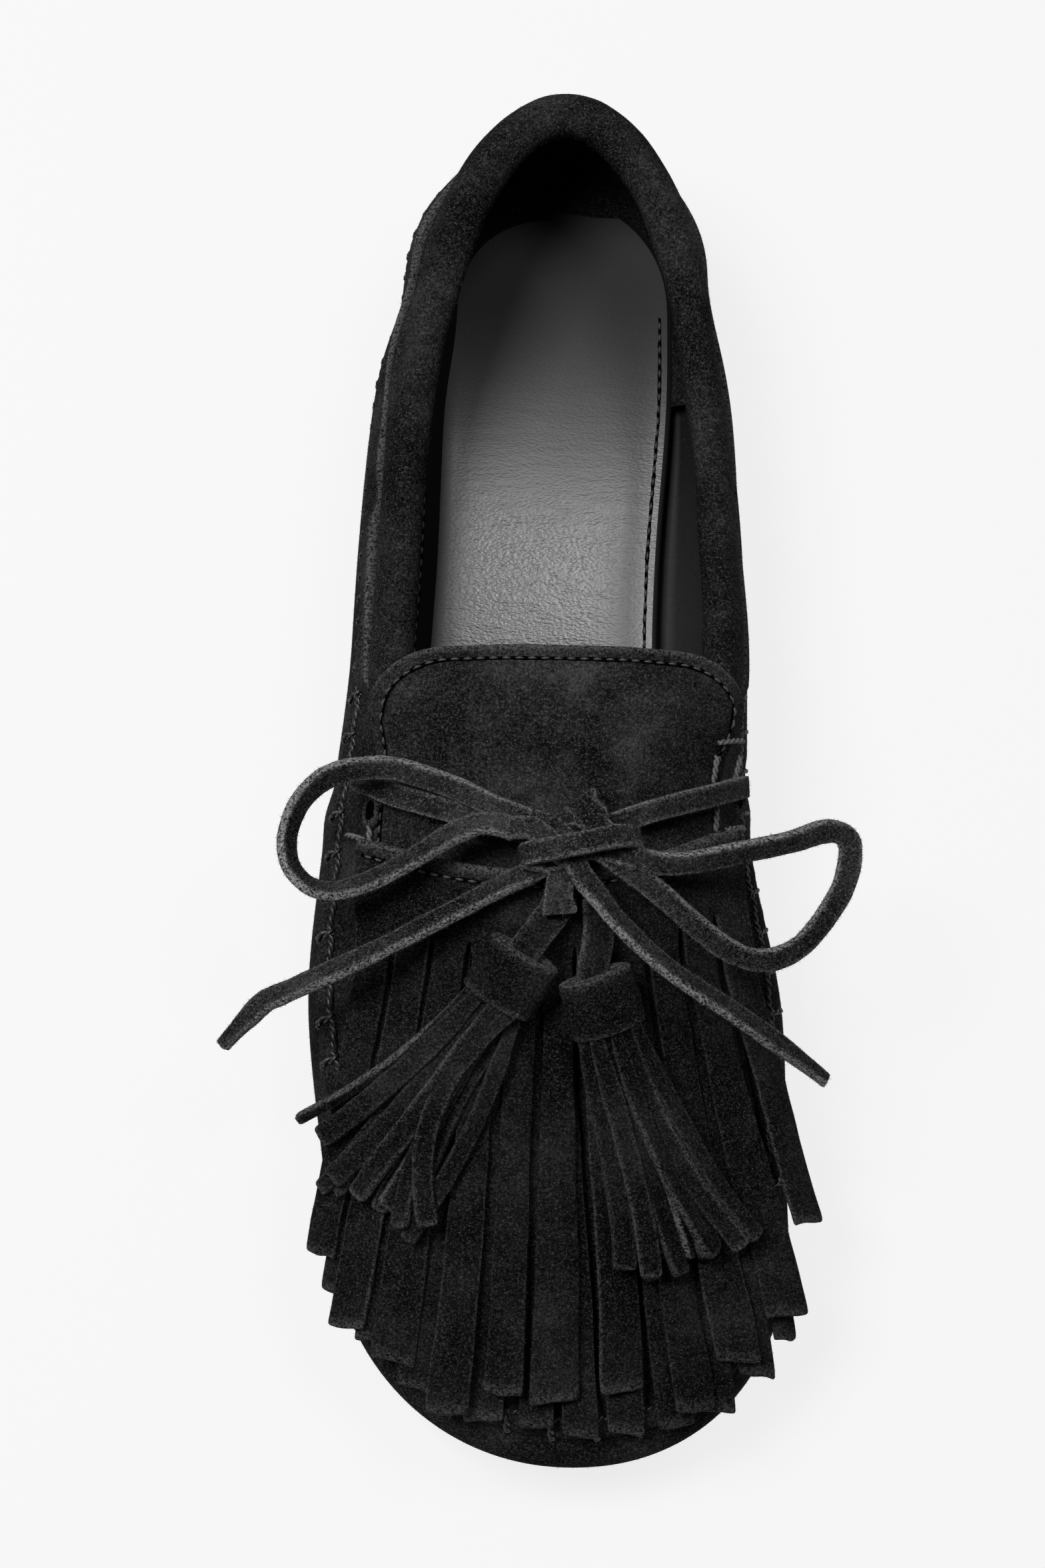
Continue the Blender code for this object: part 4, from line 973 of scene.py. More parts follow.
def smooth_route(points, steps):
    """Places on a smooth curve through given points, with any fourth value kept."""
    rows = [Vector(tuple(p)) for p in points]
    size = len(rows[0])
    found = []
    for i in range(len(rows) - 1):
        a = rows[max(i - 1, 0)]
        b, c = rows[i], rows[i + 1]
        d = rows[min(i + 2, len(rows) - 1)]
        for s in range(steps):
            u = s / steps
            found.append([0.5 * (2 * b[n] + (c[n] - a[n]) * u
                                 + (2 * a[n] - 5 * b[n] + 4 * c[n] - d[n]) * u * u
                                 + (3 * b[n] - 3 * c[n] + d[n] - a[n]) * u**3) for n in range(size)])
    found.append(list(rows[-1]))
    return found


def thong_route(points, steps):
    """Places and turns on a smooth curve through a thong's given points."""
    rows = smooth_route(points, steps)
    return [Vector(row[:3]) * MM for row in rows], [row[3] for row in rows]


# Camera, light and floor


def make_camera():
    camera = bpy.data.cameras.new("camera")
    camera.lens = CAMERA_LENS
    camera.sensor_width = CAMERA_SENSOR
    camera.clip_start = 10 * MM
    made = new_object("camera", camera)
    made.location = Vector(CAMERA_PLACE) * MM
    made.rotation_euler = [math.radians(a) for a in CAMERA_ANGLES]
    bpy.context.scene.camera = made


def area_light(name, place, target, size, power):
    light = bpy.data.lights.new(name, "AREA")
    light.shape = "RECTANGLE"
    light.size, light.size_y = size
    light.energy = power
    made = new_object(name, light)
    made.location = place
    made.rotation_euler = (Vector(target) - Vector(place)).to_track_quat("-Z", "Y").to_euler()


def make_studio():
    bm = bmesh.new()
    bmesh.ops.create_grid(bm, x_segments=1, y_segments=1, size=FLOOR_REACH)
    mesh = bpy.data.meshes.new("floor")
    bm.to_mesh(mesh)
    bm.free()
    mesh.materials.append(floor_paint())
    new_object("floor", mesh)
    world = bpy.data.worlds.new("studio")
    world.use_nodes = True
    background = world.node_tree.nodes["Background"]
    background.inputs["Color"].default_value = (1.0, 1.0, 1.0, 1.0)
    background.inputs["Strength"].default_value = WORLD_GLOW
    bpy.context.scene.world = world
    bpy.context.scene.view_settings.view_transform = "Standard"
    for lamp in LAMPS:
        area_light(*lamp)


# Laces


def make_cord(name, node, route, far_end):
    """One free thong of the bow on its given route."""
    bm, edge = new_mesh()
    steps = 9
    places, turns = thong_route(route, steps)
    taper = [1 + 0.10 * noise.noise(p * 160) for p in places]
    if far_end == "bare":
        last = len(places) - 1
        taper = [t * blend(1.0, 0.55, ease(i, last - 14, last)) for i, t in enumerate(taper)]
    add_ribbon(bm, edge, places, THONG_WIDTH, THONG_THICKNESS, turns, taper=taper)
    made = piece(name, bm, [THONG_SUEDE], [node], levels=1)
    return made


def make_knot():
    """The bow's knot: the thongs' crossing runs, the wrap that holds them and the strap's ragged ends."""
    bm, edge = new_mesh()
    thickness = THONG_THICKNESS * 0.9
    for run in KNOT_RUNS:
        places, turns = thong_route(run, 8)
        add_ribbon(bm, edge, places, THONG_WIDTH, thickness, turns, fuzz=0.9)
    places = [Vector(row) * MM for row in smooth_route(KNOT_WRAP, 8)]
    core = Vector(KNOT_CORE) * MM
    add_ribbon(bm, edge, places, THONG_WIDTH, thickness, ups=[(p - core).normalized() for p in places])
    for run in KNOT_STUBS:
        places, turns = thong_route(run, 8)
        taper = [1 + 0.22 * noise.noise(p * 420) for p in places]
        add_ribbon(bm, edge, places, STRAP_WIDTH, STRAND_THICKNESS, turns, taper=taper, fuzz=0.6)
    return piece("bow_knot_thong", bm, [THONG_SUEDE], ["bow_knot"], levels=1)


def make_crossing():
    """The thong across the saddle, which dives into a hole at each side."""
    bm, edge = new_mesh()
    rows = smooth_route(CROSSING_ROUTE, 8)
    places, ups = [], []
    for i, row in enumerate(rows):
        x, y = row[0] * MM, row[1] * MM
        bridge = CROSSING_BRIDGE * abs(math.sin(2 * math.pi * i / (len(rows) - 1)))
        places.append(on_tongue(x, y, FRINGE_GAP + THONG_THICKNESS / 2 + bridge))
        ups.append(crown_normal(x, y))
    add_ribbon(bm, edge, places, THONG_WIDTH, THONG_THICKNESS, ups=ups)
    return piece("lace_crossing_thong", bm, [THONG_SUEDE], ["lace_crossing"], levels=1)


# The shoe


def dress_cad():
    """The sole and the heel keep their solids and take a rubber finish."""
    for node in ("outsole", "heel"):
        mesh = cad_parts[node].data
        mesh.materials.clear()
        mesh.materials.append(SOLE_RUBBER)


def crease_lift(side, share, height):
    """Lift of the soft creases on the wall: height is 0 at the sole, 1 at the seam and 2 at the top."""
    total = 0.0
    for c_side, c_share, c_height, turn, reach, wide, lift in CREASES:
        if side != c_side:
            continue
        a = math.radians(turn)
        dx = (share - c_share) * LENGTH / MM
        dz = (height - c_height) * CREASE_RISE
        along_it = dx * math.cos(a) + dz * math.sin(a)
        across_it = -dx * math.sin(a) + dz * math.cos(a)
        fade = max(0.0, 1 - (along_it / reach) ** 2) ** 2
        total += lift * MM * fade * math.exp(-((across_it / wide) ** 2))
    return total


def upper_rows(col):
    """Places up one column of the upper, with the lift of its front and its cut edge at each."""
    rows = [(foot_point(col, inset=MARGIN, lower=-GAP), 0.0, 0.0)]
    rows.append((foot_point(col, inset=MARGIN / 2, lower=-GAP), 0.0, 0.0))
    for level in FINE_LEVELS:
        lift = SEAM_RIDGE if level == 1.0 else crease_lift(col.side, col.share, level)
        rows.append((wall_point(col, level), lift, 0.0))
    rear = col.share < THROAT_SHARE
    first = SEAM_HALF / seam_half(col.body)
    for level, step, cut in QUARTER_ROWS:
        if rear:
            place = quarter_point(col, level)
            lift = step * QUARTER_EDGE * ease(col.share, 0.02, 0.10)
            lift += crease_lift(col.side, col.share, 1 + level)
            rows.append((place, lift, cut))
        else:
            rows.append((apron_point(col, blend(1 - first, THROAT_CORNER, level)), 0.0, 0.0))
    if not rear:
        for i in range(1, APRON_ROWS):
            rows.append((apron_point(col, THROAT_CORNER * (1 - i / APRON_ROWS)), 0.0, 0.0))
    return rows


def make_upper():
    """The upper's suede outside and leather inside."""
    bm, edge = new_mesh()
    ring = ring_of_columns(3)
    lifts = {}
    grid = []
    for col in ring:
        line = []
        for place, lift, cut in upper_rows(col):
            v = bm.verts.new(place)
            v[edge] = cut
            lifts[v] = lift
            line.append(v)
        grid.append(line)
    pole = bm.verts.new(apron_point(Column(1, TOE_POLE, 1.0, 0.0), 0.0))
    spine = {}
    for k, col in enumerate(ring):
        if col.share < THROAT_SHARE:
            continue
        if col.toe or col.side == 0 or abs(col.share - TOE_POLE) < 1e-6:
            grid[k].append(pole)
            continue
        if col.share not in spine:
            spine[col.share] = bm.verts.new(apron_point(col, 0.0))
        grid[k].append(spine[col.share])
    for k, line in enumerate(grid):
        following = grid[(k + 1) % len(grid)]
        for r in range(min(len(line), len(following)) - 1):
            add_face(bm, [line[r], following[r], following[r + 1], line[r + 1]])
    thicken(bm, edge, WALL, lifts, back_index=1)
    return piece("upper_suede", bm, [SUEDE, LINING], ["upper"], levels=1)


def make_insole():
    """The leather sock, with a soft crown and edges that curl up the wall, and painted shade: a dark band of
    the lining's finish along its rim, wider on the lateral side, and darkening towards the rim and the heel.
    """
    bm, edge = new_mesh()
    ring = ring_of_columns(2)
    base = GAP + WALL + GAP
    lines = []
    for inset, height, share, rim in INSOLE_ROWS:
        line = []
        for col in ring:
            curl = INSOLE_CURL * share * (MEDIAL_CURL if col.side > 0 else 1.0)
            v = bm.verts.new(foot_point(col, inset=INSOLE_CLEAR + inset * MM, lower=-base - height - curl))
            # Painted shade in the "edge" layer: darker near the rim, more on the lateral side, and towards
            # the heel.
            v[edge] = max(rim if col.side < 0 else rim * 0.4, ease(v.co.y, *HEEL_SHADE))
            line.append(v)
        lines.append(line)
    for row, (low, high) in enumerate(zip(lines, lines[1:])):
        for k in range(len(ring)):
            j = (k + 1) % len(ring)
            # Faces near the rim take the lining's dark finish as painted shade.
            shaded_edge = row < SHADED_EDGE_ROWS[0 if ring[k].side < 0 or ring[j].side < 0 else 1]
            add_face(bm, [low[k], low[j], high[j], high[k]], 1 if shaded_edge else 0)
    for line, height, flip in ((lines[-1], INSOLE_THICKNESS, False), (lines[0], INSOLE_ROWS[0][1], True)):
        middle = {}
        for k, col in enumerate(ring):
            other = ring[(k + 1) % len(ring)]
            corners = [line[k], line[(k + 1) % len(ring)]]
            for c in (other, col):
                key = HEEL_POLE if c.heel or c is BACK else TOE_POLE if c.toe or c is TIP else c.share
                if key not in middle:
                    v = bm.verts.new((foot_centre_at(key), y_at(key), sole_top(key) + base + height))
                    # Painted shade towards the heel.
                    v[edge] = ease(v.co.y, *HEEL_SHADE)
                    middle[key] = v
                corners.append(middle[key])
            add_face(bm, corners[::-1] if flip else corners)
    piece("insole_leather", bm, [INSOLE_LEATHER, LINING], ["insole"], levels=1)


def interior_point(col, place, depth):
    """A place moved from the wall's outside towards the inside of the shoe."""
    pole = min(max(col.share, HEEL_POLE), TOE_POLE)
    core = Vector((foot_centre_at(pole), y_at(pole), place.z))
    return place + (core - place).normalized() * depth


def make_heel_grip():
    """The suede grip that lines the heel's inside and laps straight across onto the insole."""
    bm, edge = new_mesh()
    finer = 3
    cols = [c for c in half_columns(-1, finer)[::-1] if c.share <= GRIP_END] + [BACK]
    cols += [c for c in half_columns(1, finer) if c.share <= GRIP_END]
    base = GAP + WALL + GAP + INSOLE_THICKNESS
    lines = []
    for col in cols:
        line = []
        for inset, rise in GRIP_FLOOR:
            place = foot_point(col, inset=WALL + inset * MM, lower=-base - rise * MM)
            ragged = 0.4 * MM * noise.noise(Vector((place.x * 300, 2.0, 0)))
            limit = BACK_Y - GRIP_LAP + (1.6 - inset) * MM * 1.5 + ragged - abs(place.x) * 0.12
            line.append(Vector((place.x, min(place.y, limit), place.z)))
        for level, depth in GRIP_WALL:
            line.append(interior_point(col, wall_point(col, level), depth * MM))
        for level, depth in GRIP_QUARTER:
            line.append(interior_point(col, quarter_point(col, level), depth * MM))
        lines.append([bm.verts.new(p) for p in line])
    for line in lines:
        line[0][edge] = 0.6
    add_sheet(bm, lines)
    return piece("heel_grip_suede", bm, [GRIP_SUEDE], levels=1)


def wall_edge(col):
    """The top of the wall at one column, and a place below it."""
    if col.share < THROAT_SHARE:
        return quarter_point(col, 1.0), quarter_point(col, 0.66)
    first = SEAM_HALF / seam_half(col.body)
    return apron_point(col, THROAT_CORNER), apron_point(col, blend(1 - first, THROAT_CORNER, 0.66))


def make_collar():
    """The padded suede roll round the topline."""
    slot = WALL / 2 + GAP + 0.1 * MM
    wide, over, under = COLLAR_HALF_WIDTH, COLLAR_OVER, COLLAR_UNDER
    outside = (
        (slot, -under), (0.70 * wide, -1.02 * under), (0.96 * wide, -0.62 * under),
        (1.02 * wide, -0.1 * under), (0.92 * wide, 0.45 * over), (0.60 * wide, 0.85 * over),
    )
    inside = [(-n, b) for n, b in outside[::-1]]
    profile = [*outside, (0.0, over), *inside, (-slot, GAP), (slot, GAP)]
    finer = 3
    lateral, medial = half_columns(-1, finer), half_columns(1, finer)
    cols = [c for c in lateral[::-1] if c.share <= THROAT_SHARE]
    cols += [BACK] + [c for c in medial if c.share <= THROAT_SHARE]
    edges = [wall_edge(c) for c in cols]
    for end, near in ((0, 1), (-1, -2)):
        edges[end] = [b.lerp(a, COLLAR_END - 0.1) for a, b in zip(edges[end], edges[near])]
    tops = [top for top, below in edges]
    bm, _ = new_mesh()
    lines = []
    for i, (top, below) in enumerate(edges):
        before, after = tops[max(i - 1, 0)], tops[min(i + 1, len(tops) - 1)]
        tangent = (after - before).normalized()
        up = (top - below).normalized()
        out = up.cross(tangent).normalized()
        up = tangent.cross(out).normalized()
        middle = top - out * WALL / 2
        outer = blend(1.0, COLLAR_SLIM, ease(cols[i].share, 0.08, 0.20))
        line = []
        for k, (n, b) in enumerate(profile):
            place = middle + out * n * (outer if 1 <= k <= 5 else 1.0) + up * b
            if 1 <= k <= 11:
                place += (out * n + up * b).normalized() * ripple(place, COLLAR_DENTS) * MM
            line.append(bm.verts.new(place))
        lines.append(line)
    add_skin(bm, lines)
    add_ends(bm, lines)
    made = piece("collar_suede", bm, [SUEDE], ["collar_roll"], levels=1)
    return made


def tongue_place(w, u):
    """A place in plan on the saddle: w from -1 to 1 across, u from 0 at its top to 1 under the kiltie."""
    first = y_at(THROAT_SHARE) + TONGUE_OVERHANG
    half = seam_half(share_at(first)) * TONGUE_HALF
    corner = max(0.0, abs(w) * half - (half - TONGUE_CORNER))
    drop = TONGUE_CORNER - math.sqrt(max(TONGUE_CORNER**2 - corner**2, 0.0))
    y = blend(first - drop, y_at(TONGUE_END), u**1.2)
    share = share_at(y)
    x = centre_at(share) + w * seam_half(share) * TONGUE_HALF
    return x, y


def make_tongue():
    """The suede saddle over the instep."""
    bm, edge = new_mesh()
    rows, across = 16, 30
    grid = []
    for r in range(rows + 1):
        line = []
        for k in range(across + 1):
            x, y = tongue_place(math.sin(math.radians(-90 + 180 * k / across)), r / rows)
            place = crown_point(x, y, tongue_lift(x, y))
            place.z += 0.35 * MM * noise.noise(place * 60)
            line.append(bm.verts.new(place))
        grid.append(line)
    add_sheet(bm, grid)
    thicken(bm, edge, TONGUE_THICKNESS)
    return piece("tongue_suede", bm, [TONGUE_SUEDE], ["tongue"], levels=1)


def fringe_point(x, y, layer, lift=0.0):
    return crown_point(x, y, kiltie_lift(y, layer) + over_seam(x, y) + lift)


class Strand:
    """One strand of the fringe: its end, and its own random sway, curl, camber, twist, slant and lie."""

    def __init__(self, rng, i, layer, row):
        self.i = i
        self.layer = layer
        self.across, self.end, self.width = row
        self.sway = rng.uniform(-0.9, 0.9) * MM
        self.waves = rng.uniform(0.7, 1.4)
        self.phase = rng.uniform(0, 6.28)
        self.curl = rng.uniform(0.3, 2.0) * MM
        self.camber = rng.uniform(0.1, 0.7) * MM
        self.twist = rng.uniform(-1.0, 1.0) * MM
        self.slant = rng.uniform(-0.6, 0.6) * MM
        self.lie = (rng.uniform(0.8, 1.3) if i % 2 else 0.0) * MM
        self.cut_edge = rng.uniform(0.15, 0.75)

    def square(self, middle):
        """The slope of its cut end, which stands square to the strand."""
        fall = y_at(self.end) - kiltie_top_y(middle) + SLIT_START
        return (self.across - middle * BAND_HALF) * BALL_WIDTH / abs(fall)

    def place(self, t, u, start, square):
        """A place on it: t from -1 to 1 across, u from 0 at the slit's top to 1 at its end."""
        x1 = self.across * BALL_WIDTH + t * self.width * BALL_WIDTH / 2
        x = blend(start[0] - t * SLIT * 1.1, x1, u)
        x += self.sway * math.sin(self.waves * math.pi * u + self.phase) * u
        x += 0.22 * MM * noise.noise(Vector((self.i * 7.1, t * 2.0, u * 14))) * abs(t)
        y = blend(start[1], y_at(self.end) + self.slant * t + square * (x1 - self.across * BALL_WIDTH), u)
        if u == 1:
            y += 0.5 * MM * noise.noise(Vector((self.i * 3.7 + t * 2.3, self.layer * 5.0, 1.5)))
        lift = self.lie * ease(u, 0.05, 0.4)
        lift += self.curl * ease(u, 0.45, 1.0) * math.sin(self.waves * 2.2 * u + self.phase) ** 2
        lift += self.camber * (1 - t * t) * ease(u, 0.0, 0.3) + self.twist * t * ease(u, 0.2, 0.9)
        return fringe_point(x, y, self.layer, lift)


def make_fringe(name, node, strands, layer, shift, seed):
    """A layer of the kiltie: a band over the vamp whose lower part is slit into soft strands."""
    rng = random.Random(seed)
    bm, edge = new_mesh()
    half = KILTIE_HALF - shift
    last = len(FRINGE_SPOTS) - 1
    shared = {}
    for i, row in enumerate(strands):
        strand = Strand(rng, i, layer, row)
        grid = []
        for r in range(BAND_ROWS + 1):
            line, spots = [], []
            for a, t in enumerate(FRINGE_SPOTS):
                w = blend(-half, half, (i + (t + 1) / 2) / len(strands))
                y = kiltie_top_y(w) - SLIT_START * r / BAND_ROWS
                x = centre_at(share_at(y)) + w * seam_half(share_at(y))
                spots.append((x, y))
                key = (i * last + a, r)
                if key not in shared:
                    shared[key] = bm.verts.new(fringe_point(x, y, layer))
                line.append(shared[key])
            grid.append(line)
        square = strand.square(blend(-half, half, (i + 0.5) / len(strands)))
        for s in range(1, STRAND_STEPS + 1):
            places = [strand.place(t, s / STRAND_STEPS, spot, square) for t, spot in zip(FRINGE_SPOTS, spots)]
            grid.append([bm.verts.new(p) for p in places])
        add_sheet(bm, grid)
        for line in grid[BAND_ROWS + 1:]:
            line[0][edge] = line[last][edge] = strand.cut_edge
        for v in grid[-1]:
            v[edge] = max(strand.cut_edge, 0.5)
        for v in grid[0]:
            v[edge] = 0.8
    thicken(bm, edge, FRINGE_THICKNESS * 0.85, mark=False)
    return piece(name, bm, [FRINGE_SUEDE], [node], levels=1)


# Tassels


def tassel_frame(tassel):
    """Where a tassel's cap starts, and the directions along it, across it and up."""
    (x, y), heading, _ = tassel
    start = Vector((x * MM, y * MM, 0))
    angle = math.radians(heading)
    down = Vector((math.sin(angle), -math.cos(angle), 0))
    far = start + down * CAP_LENGTH
    bed = [crown_height(p.x, p.y) + cover_lift(p.y) for p in (start, far)]
    axis = (down * CAP_LENGTH + Vector((0, 0, bed[1] - bed[0] - CAP_TILT))).normalized()
    side = axis.cross(Vector((0, 0, 1))).normalized()
    up = side.cross(axis).normalized()
    head = Vector((start.x, start.y, bed[0] + CAP_TILT)) + up * (CAP_THICKNESS / 2 + 0.3 * MM)
    return head, axis, side, up, down


def add_cap(bm, edge, head, axis, side, up):
    """A rolled strip of suede: a spiral whose turns show at its upper end."""
    turns, strip, steps = CAP_TURNS, CAP_STRIP, 72
    depths = (0.0, 0.03, 0.12, 0.5, 0.88, 0.97, 1.0)
    lines = []
    for i in range(steps + 1):
        t = i / steps
        a = 2 * math.pi * turns * t - math.pi / 2
        inward = strip * turns * (1 - t) * 1.08
        outer, inner = [], []
        for depth in depths:
            bulge = 0.30 * MM * math.sin(math.pi * depth)
            rim = 0.18 * MM * noise.noise(Vector((4.0 * t * turns, depth * 3, strip * 1e3 + head.x * 90)))
            for skin, kept in ((0.0, outer), (strip, inner)):
                rx = CAP_WIDTH / 2 - inward - skin + bulge
                ry = CAP_THICKNESS / 2 - inward - skin + bulge
                place = head + axis * (CAP_LENGTH * depth + rim)
                place = place + side * rx * math.cos(a) + up * ry * math.sin(a)
                v = bm.verts.new(place)
                v[edge] = 0.8 if depth in (0.0, 1.0) else 0.25 if depth in (0.03, 0.97) else 0.0
                kept.append(v)
        lines.append(outer + inner[::-1])
    add_skin(bm, lines)
    add_ends(bm, lines)


def strand_route(rng, start, axis, across, end, level, bow):
    """Where one strand of a tassel lies on the fringe, with its turn, up and taper at each place."""
    phase = rng.uniform(0, 6.28)
    lean_turn = rng.uniform(-60, 60)
    foot = Vector((end.x, end.y, 0))
    places, turns, ups, taper = [], [], [], []
    for s in range(TASSEL_STEPS + 1):
        u = s / TASSEL_STEPS
        straight = start + axis * TASSEL_LENGTH * 0.45 * u
        plan = straight.lerp(foot, ease(u, 0.0, 1.25) / ease(1.0, 0.0, 1.25))
        plan = blend(start, foot, u) * 0.6 + plan * 0.4
        plan += across * bow * 1.6 * MM * math.sin(math.pi * u)
        plan += across * 0.45 * MM * math.sin(5 * u + phase) * u
        rest = crown_height(plan.x, plan.y) + cover_lift(plan.y) + over_seam(plan.x, plan.y)
        rest += 0.8 * MM + level * 1.5 * MM
        rest += 1.0 * MM * ease(u, 0.4, 1.0) * math.sin(phase + 3 * u) ** 2
        z = blend(start.z + axis.z * TASSEL_LENGTH * u, rest, ease(u, 0.0, 0.42))
        places.append(Vector((plan.x, plan.y, max(z, rest) if u > 0.1 else z)))
        turns.append(lean_turn * ease(u, 0.05, 0.5) * math.cos(phase + 1.6 * u))
        ups.append(crown_normal(plan.x, plan.y))
        taper.append(blend(0.62, 1.0, ease(u, 0.0, 0.3)) * (1 + 0.10 * noise.noise(plan * 300)))
    return places, turns, ups, taper


def make_tassel(name, node, tassel, ends, seed):
    """A rolled cap with its strands: a listed top layer over a fan of lower ones."""
    rng = random.Random(seed)
    head, axis, side, up, down = tassel_frame(tassel)
    bm, edge = new_mesh()
    add_cap(bm, edge, head, axis, side, up)
    strands = []
    for count, level, spread in TASSEL_LAYERS:
        for i in range(count):
            share = (i + 0.5) / count * 2 - 1
            lean = math.radians(tassel[2] * share * spread * rng.uniform(0.85, 1.15))
            turned = Vector((down.x * math.cos(lean) - down.y * math.sin(lean),
                             down.x * math.sin(lean) + down.y * math.cos(lean), 0))
            reach = CAP_LENGTH + TASSEL_LENGTH
            end = Vector((head.x, head.y, 0)) + turned * reach * rng.uniform(0.90, 0.98)
            strands.append((share, end, level, rng.uniform(2.7, 3.5) * MM, rng.uniform(-1.4, 1.4)))
    for i, (x, y, width, bow) in enumerate(ends):
        share = (i + 0.5) / len(ends) * 2 - 1
        strands.append((share, Vector((x * MM, y * MM, 0)), 2.0 + 0.6 * (i % 2), width * MM, bow))
    across = Vector((-down.y, down.x, 0))
    for share, end, level, width, bow in strands:
        start = head + axis * (CAP_LENGTH - 2 * MM) + across * share * (CAP_WIDTH / 2 - 2.0 * MM)
        start += up * (level - 1.2) * 1.4 * MM
        places, turns, ups, taper = strand_route(rng, start, axis, across, end, level, bow)
        thickness = STRAND_THICKNESS * STRAND_FULLNESS
        add_ribbon(bm, edge, places, width, thickness, turns, ups, taper, fuzz=rng.uniform(0.4, 1.0))
    return piece(name, bm, [FRINGE_SUEDE], [node], levels=1)


def make_strap(name, node, route, tassel):
    """A flat strap from under the knot into the roll of a tassel's cap."""
    bm, edge = new_mesh()
    head, axis, _, up, _ = tassel_frame(tassel)
    rows = smooth_route(route[:-1], 5)
    plan = [(row[0] * MM, row[1] * MM) for row in rows]
    places = [crown_point(x, y, cover_lift(y) + STRAND_THICKNESS / 2) for x, y in plan]
    ends = [places[-1], places[-1].lerp(head, 0.45) + up * 0.5 * MM]
    ends += [head - axis * 0.4 * MM, head + axis * 4 * MM]
    places += [Vector(row) for row in smooth_route([tuple(p) for p in ends], 5)][1:]
    add_ribbon(bm, edge, places, STRAP_WIDTH, STRAND_THICKNESS, ups=[up] * len(places))
    return piece(name, bm, [FRINGE_SUEDE], [node], levels=1)


# Stitches, holes and nap


def seam_frames(finer):
    """Places along the raised seam: crest, tangent, way out of the skin, way over the wall, share."""
    ring = ring_of_columns(finer)
    crests = [wall_point(col, 1.0) for col in ring]
    found = []
    for k, col in enumerate(ring):
        below = wall_point(col, 0.88)
        above = quarter_point(col, 0.2) if col.share < THROAT_SHARE else apron_point(col, 0.93)
        tangent = (crests[(k + 1) % len(ring)] - crests[k - 1]).normalized()
        normal = tangent.cross(above - below).normalized()
        share = min(max(col.share, HEEL_POLE), TOE_POLE)
        core = Vector((centre_at(share), y_at(share), crests[k].z - 22 * MM))
        if normal.dot(crests[k] - core) < 0:
            normal = -normal
        outward = normal.cross(tangent).normalized()
        if outward.dot(below - above) < 0:
            outward = -outward
        found.append((crests[k], tangent, normal, outward, col.share))
    return found


def seam_shape(share, outward):
    """The seam's stitches at a place: size, reach to each side in millimetres, and pitch."""
    front = ease(share, THROAT_SHARE - 0.06, THROAT_SHARE + 0.02)
    size = blend(0.55, 1.0, front)
    pitch = SEAM_PITCH * size
    if outward.x > 0:
        return size * blend(0.6, 1.0, ease(share, 0.64, 0.72)), SEAM_SWING, pitch
    swing = blend(SEAM_WIDE_SWING, SEAM_SWING, front) - 1.4 * (1 - ease(share, 0.10, 0.20))
    return size, swing, pitch


def make_seam():
    """The hand-sewn seam: a gathered ridge of suede, a waxed cord along it and the stitches over it."""
    frames = seam_frames(16)
    ridge, _ = new_mesh()
    threads, _ = new_mesh()
    lines, cord = [], []
    travel, due = 0.0, 0.0
    for k, (crest, tangent, normal, outward, share) in enumerate(frames):
        if k:
            travel += (crest - frames[k - 1][0]).length
        size, swing, pitch = seam_shape(share, outward)
        if travel >= due + pitch:
            due = travel
            path = []
            for i in range(15):
                a = math.radians(-100 + 215 * i / 14)
                place = crest + outward * swing * MM * math.sin(a)
                place = place + normal * (0.25 + 1.25 * size * math.cos(a)) * MM
                path.append(place + tangent * 0.8 * MM * (i / 7 - 1))
            add_twist(threads, path, 0.72 * size * MM)
        near = (travel - due) / pitch
        swell = math.sin(math.pi * near) ** 2
        height = (0.9 + 0.5 * swell) * size * MM
        half = (swing - 0.3 + 0.5 * swell) * MM
        line = []
        for i in range(7):
            a = math.radians(-100 + 200 * i / 6)
            place = crest + normal * 0.3 * MM + outward * half * math.sin(a) + normal * height * math.cos(a)
            line.append(ridge.verts.new(place))
        lines.append(line)
        weave = 1.7 + 0.4 * math.sin(2 * math.pi * near)
        cord.append(crest - outward * weave * MM + normal * 0.7 * size * MM)
    for a, b in zip(lines, lines[1:] + lines[:1]):
        for i in range(7):
            j = (i + 1) % 7
            add_face(ridge, [a[i], b[i], b[j], a[j]])
    add_twist(threads, cord + cord[:1], 0.62 * MM)
    piece("seam_ridge_suede", ridge, [SUEDE])
    piece("seam_stitches", threads, [SEAM_THREAD])


def add_dashes(bm, places, ups, length, pitch, radius):
    """Short stitches along a line."""
    travel = 0.0
    start = None
    for (a, b), up in zip(zip(places, places[1:]), ups):
        travel += (b - a).length
        if start is None and travel >= pitch - length:
            start = (b, up)
            travel = 0.0
        elif start is not None and travel >= length:
            first, first_up = start
            middle = (first + b) / 2 + up * radius * 0.9
            add_tube(bm, [first - first_up * radius * 0.4, middle, b - up * radius * 0.4], radius)
            start = None
            travel = 0.0


def add_stitches(bm, places, ups, length=STITCH_LENGTH, pitch=STITCH_PITCH):
    """A row of short stitches over a narrow strip of painted shade, for the channel they lie in."""
    add_dashes(bm, places, ups, length, pitch, STITCH_RADIUS)
    step = max(1, len(places) // 160)
    edge = bm.verts.layers.float["edge"]
    # The strip of painted shade under the stitches.
    add_ribbon(bm, edge, places[::step], 0.62 * MM, 0.14 * MM, ups=ups[::step], index=1, fuzz=0.0)


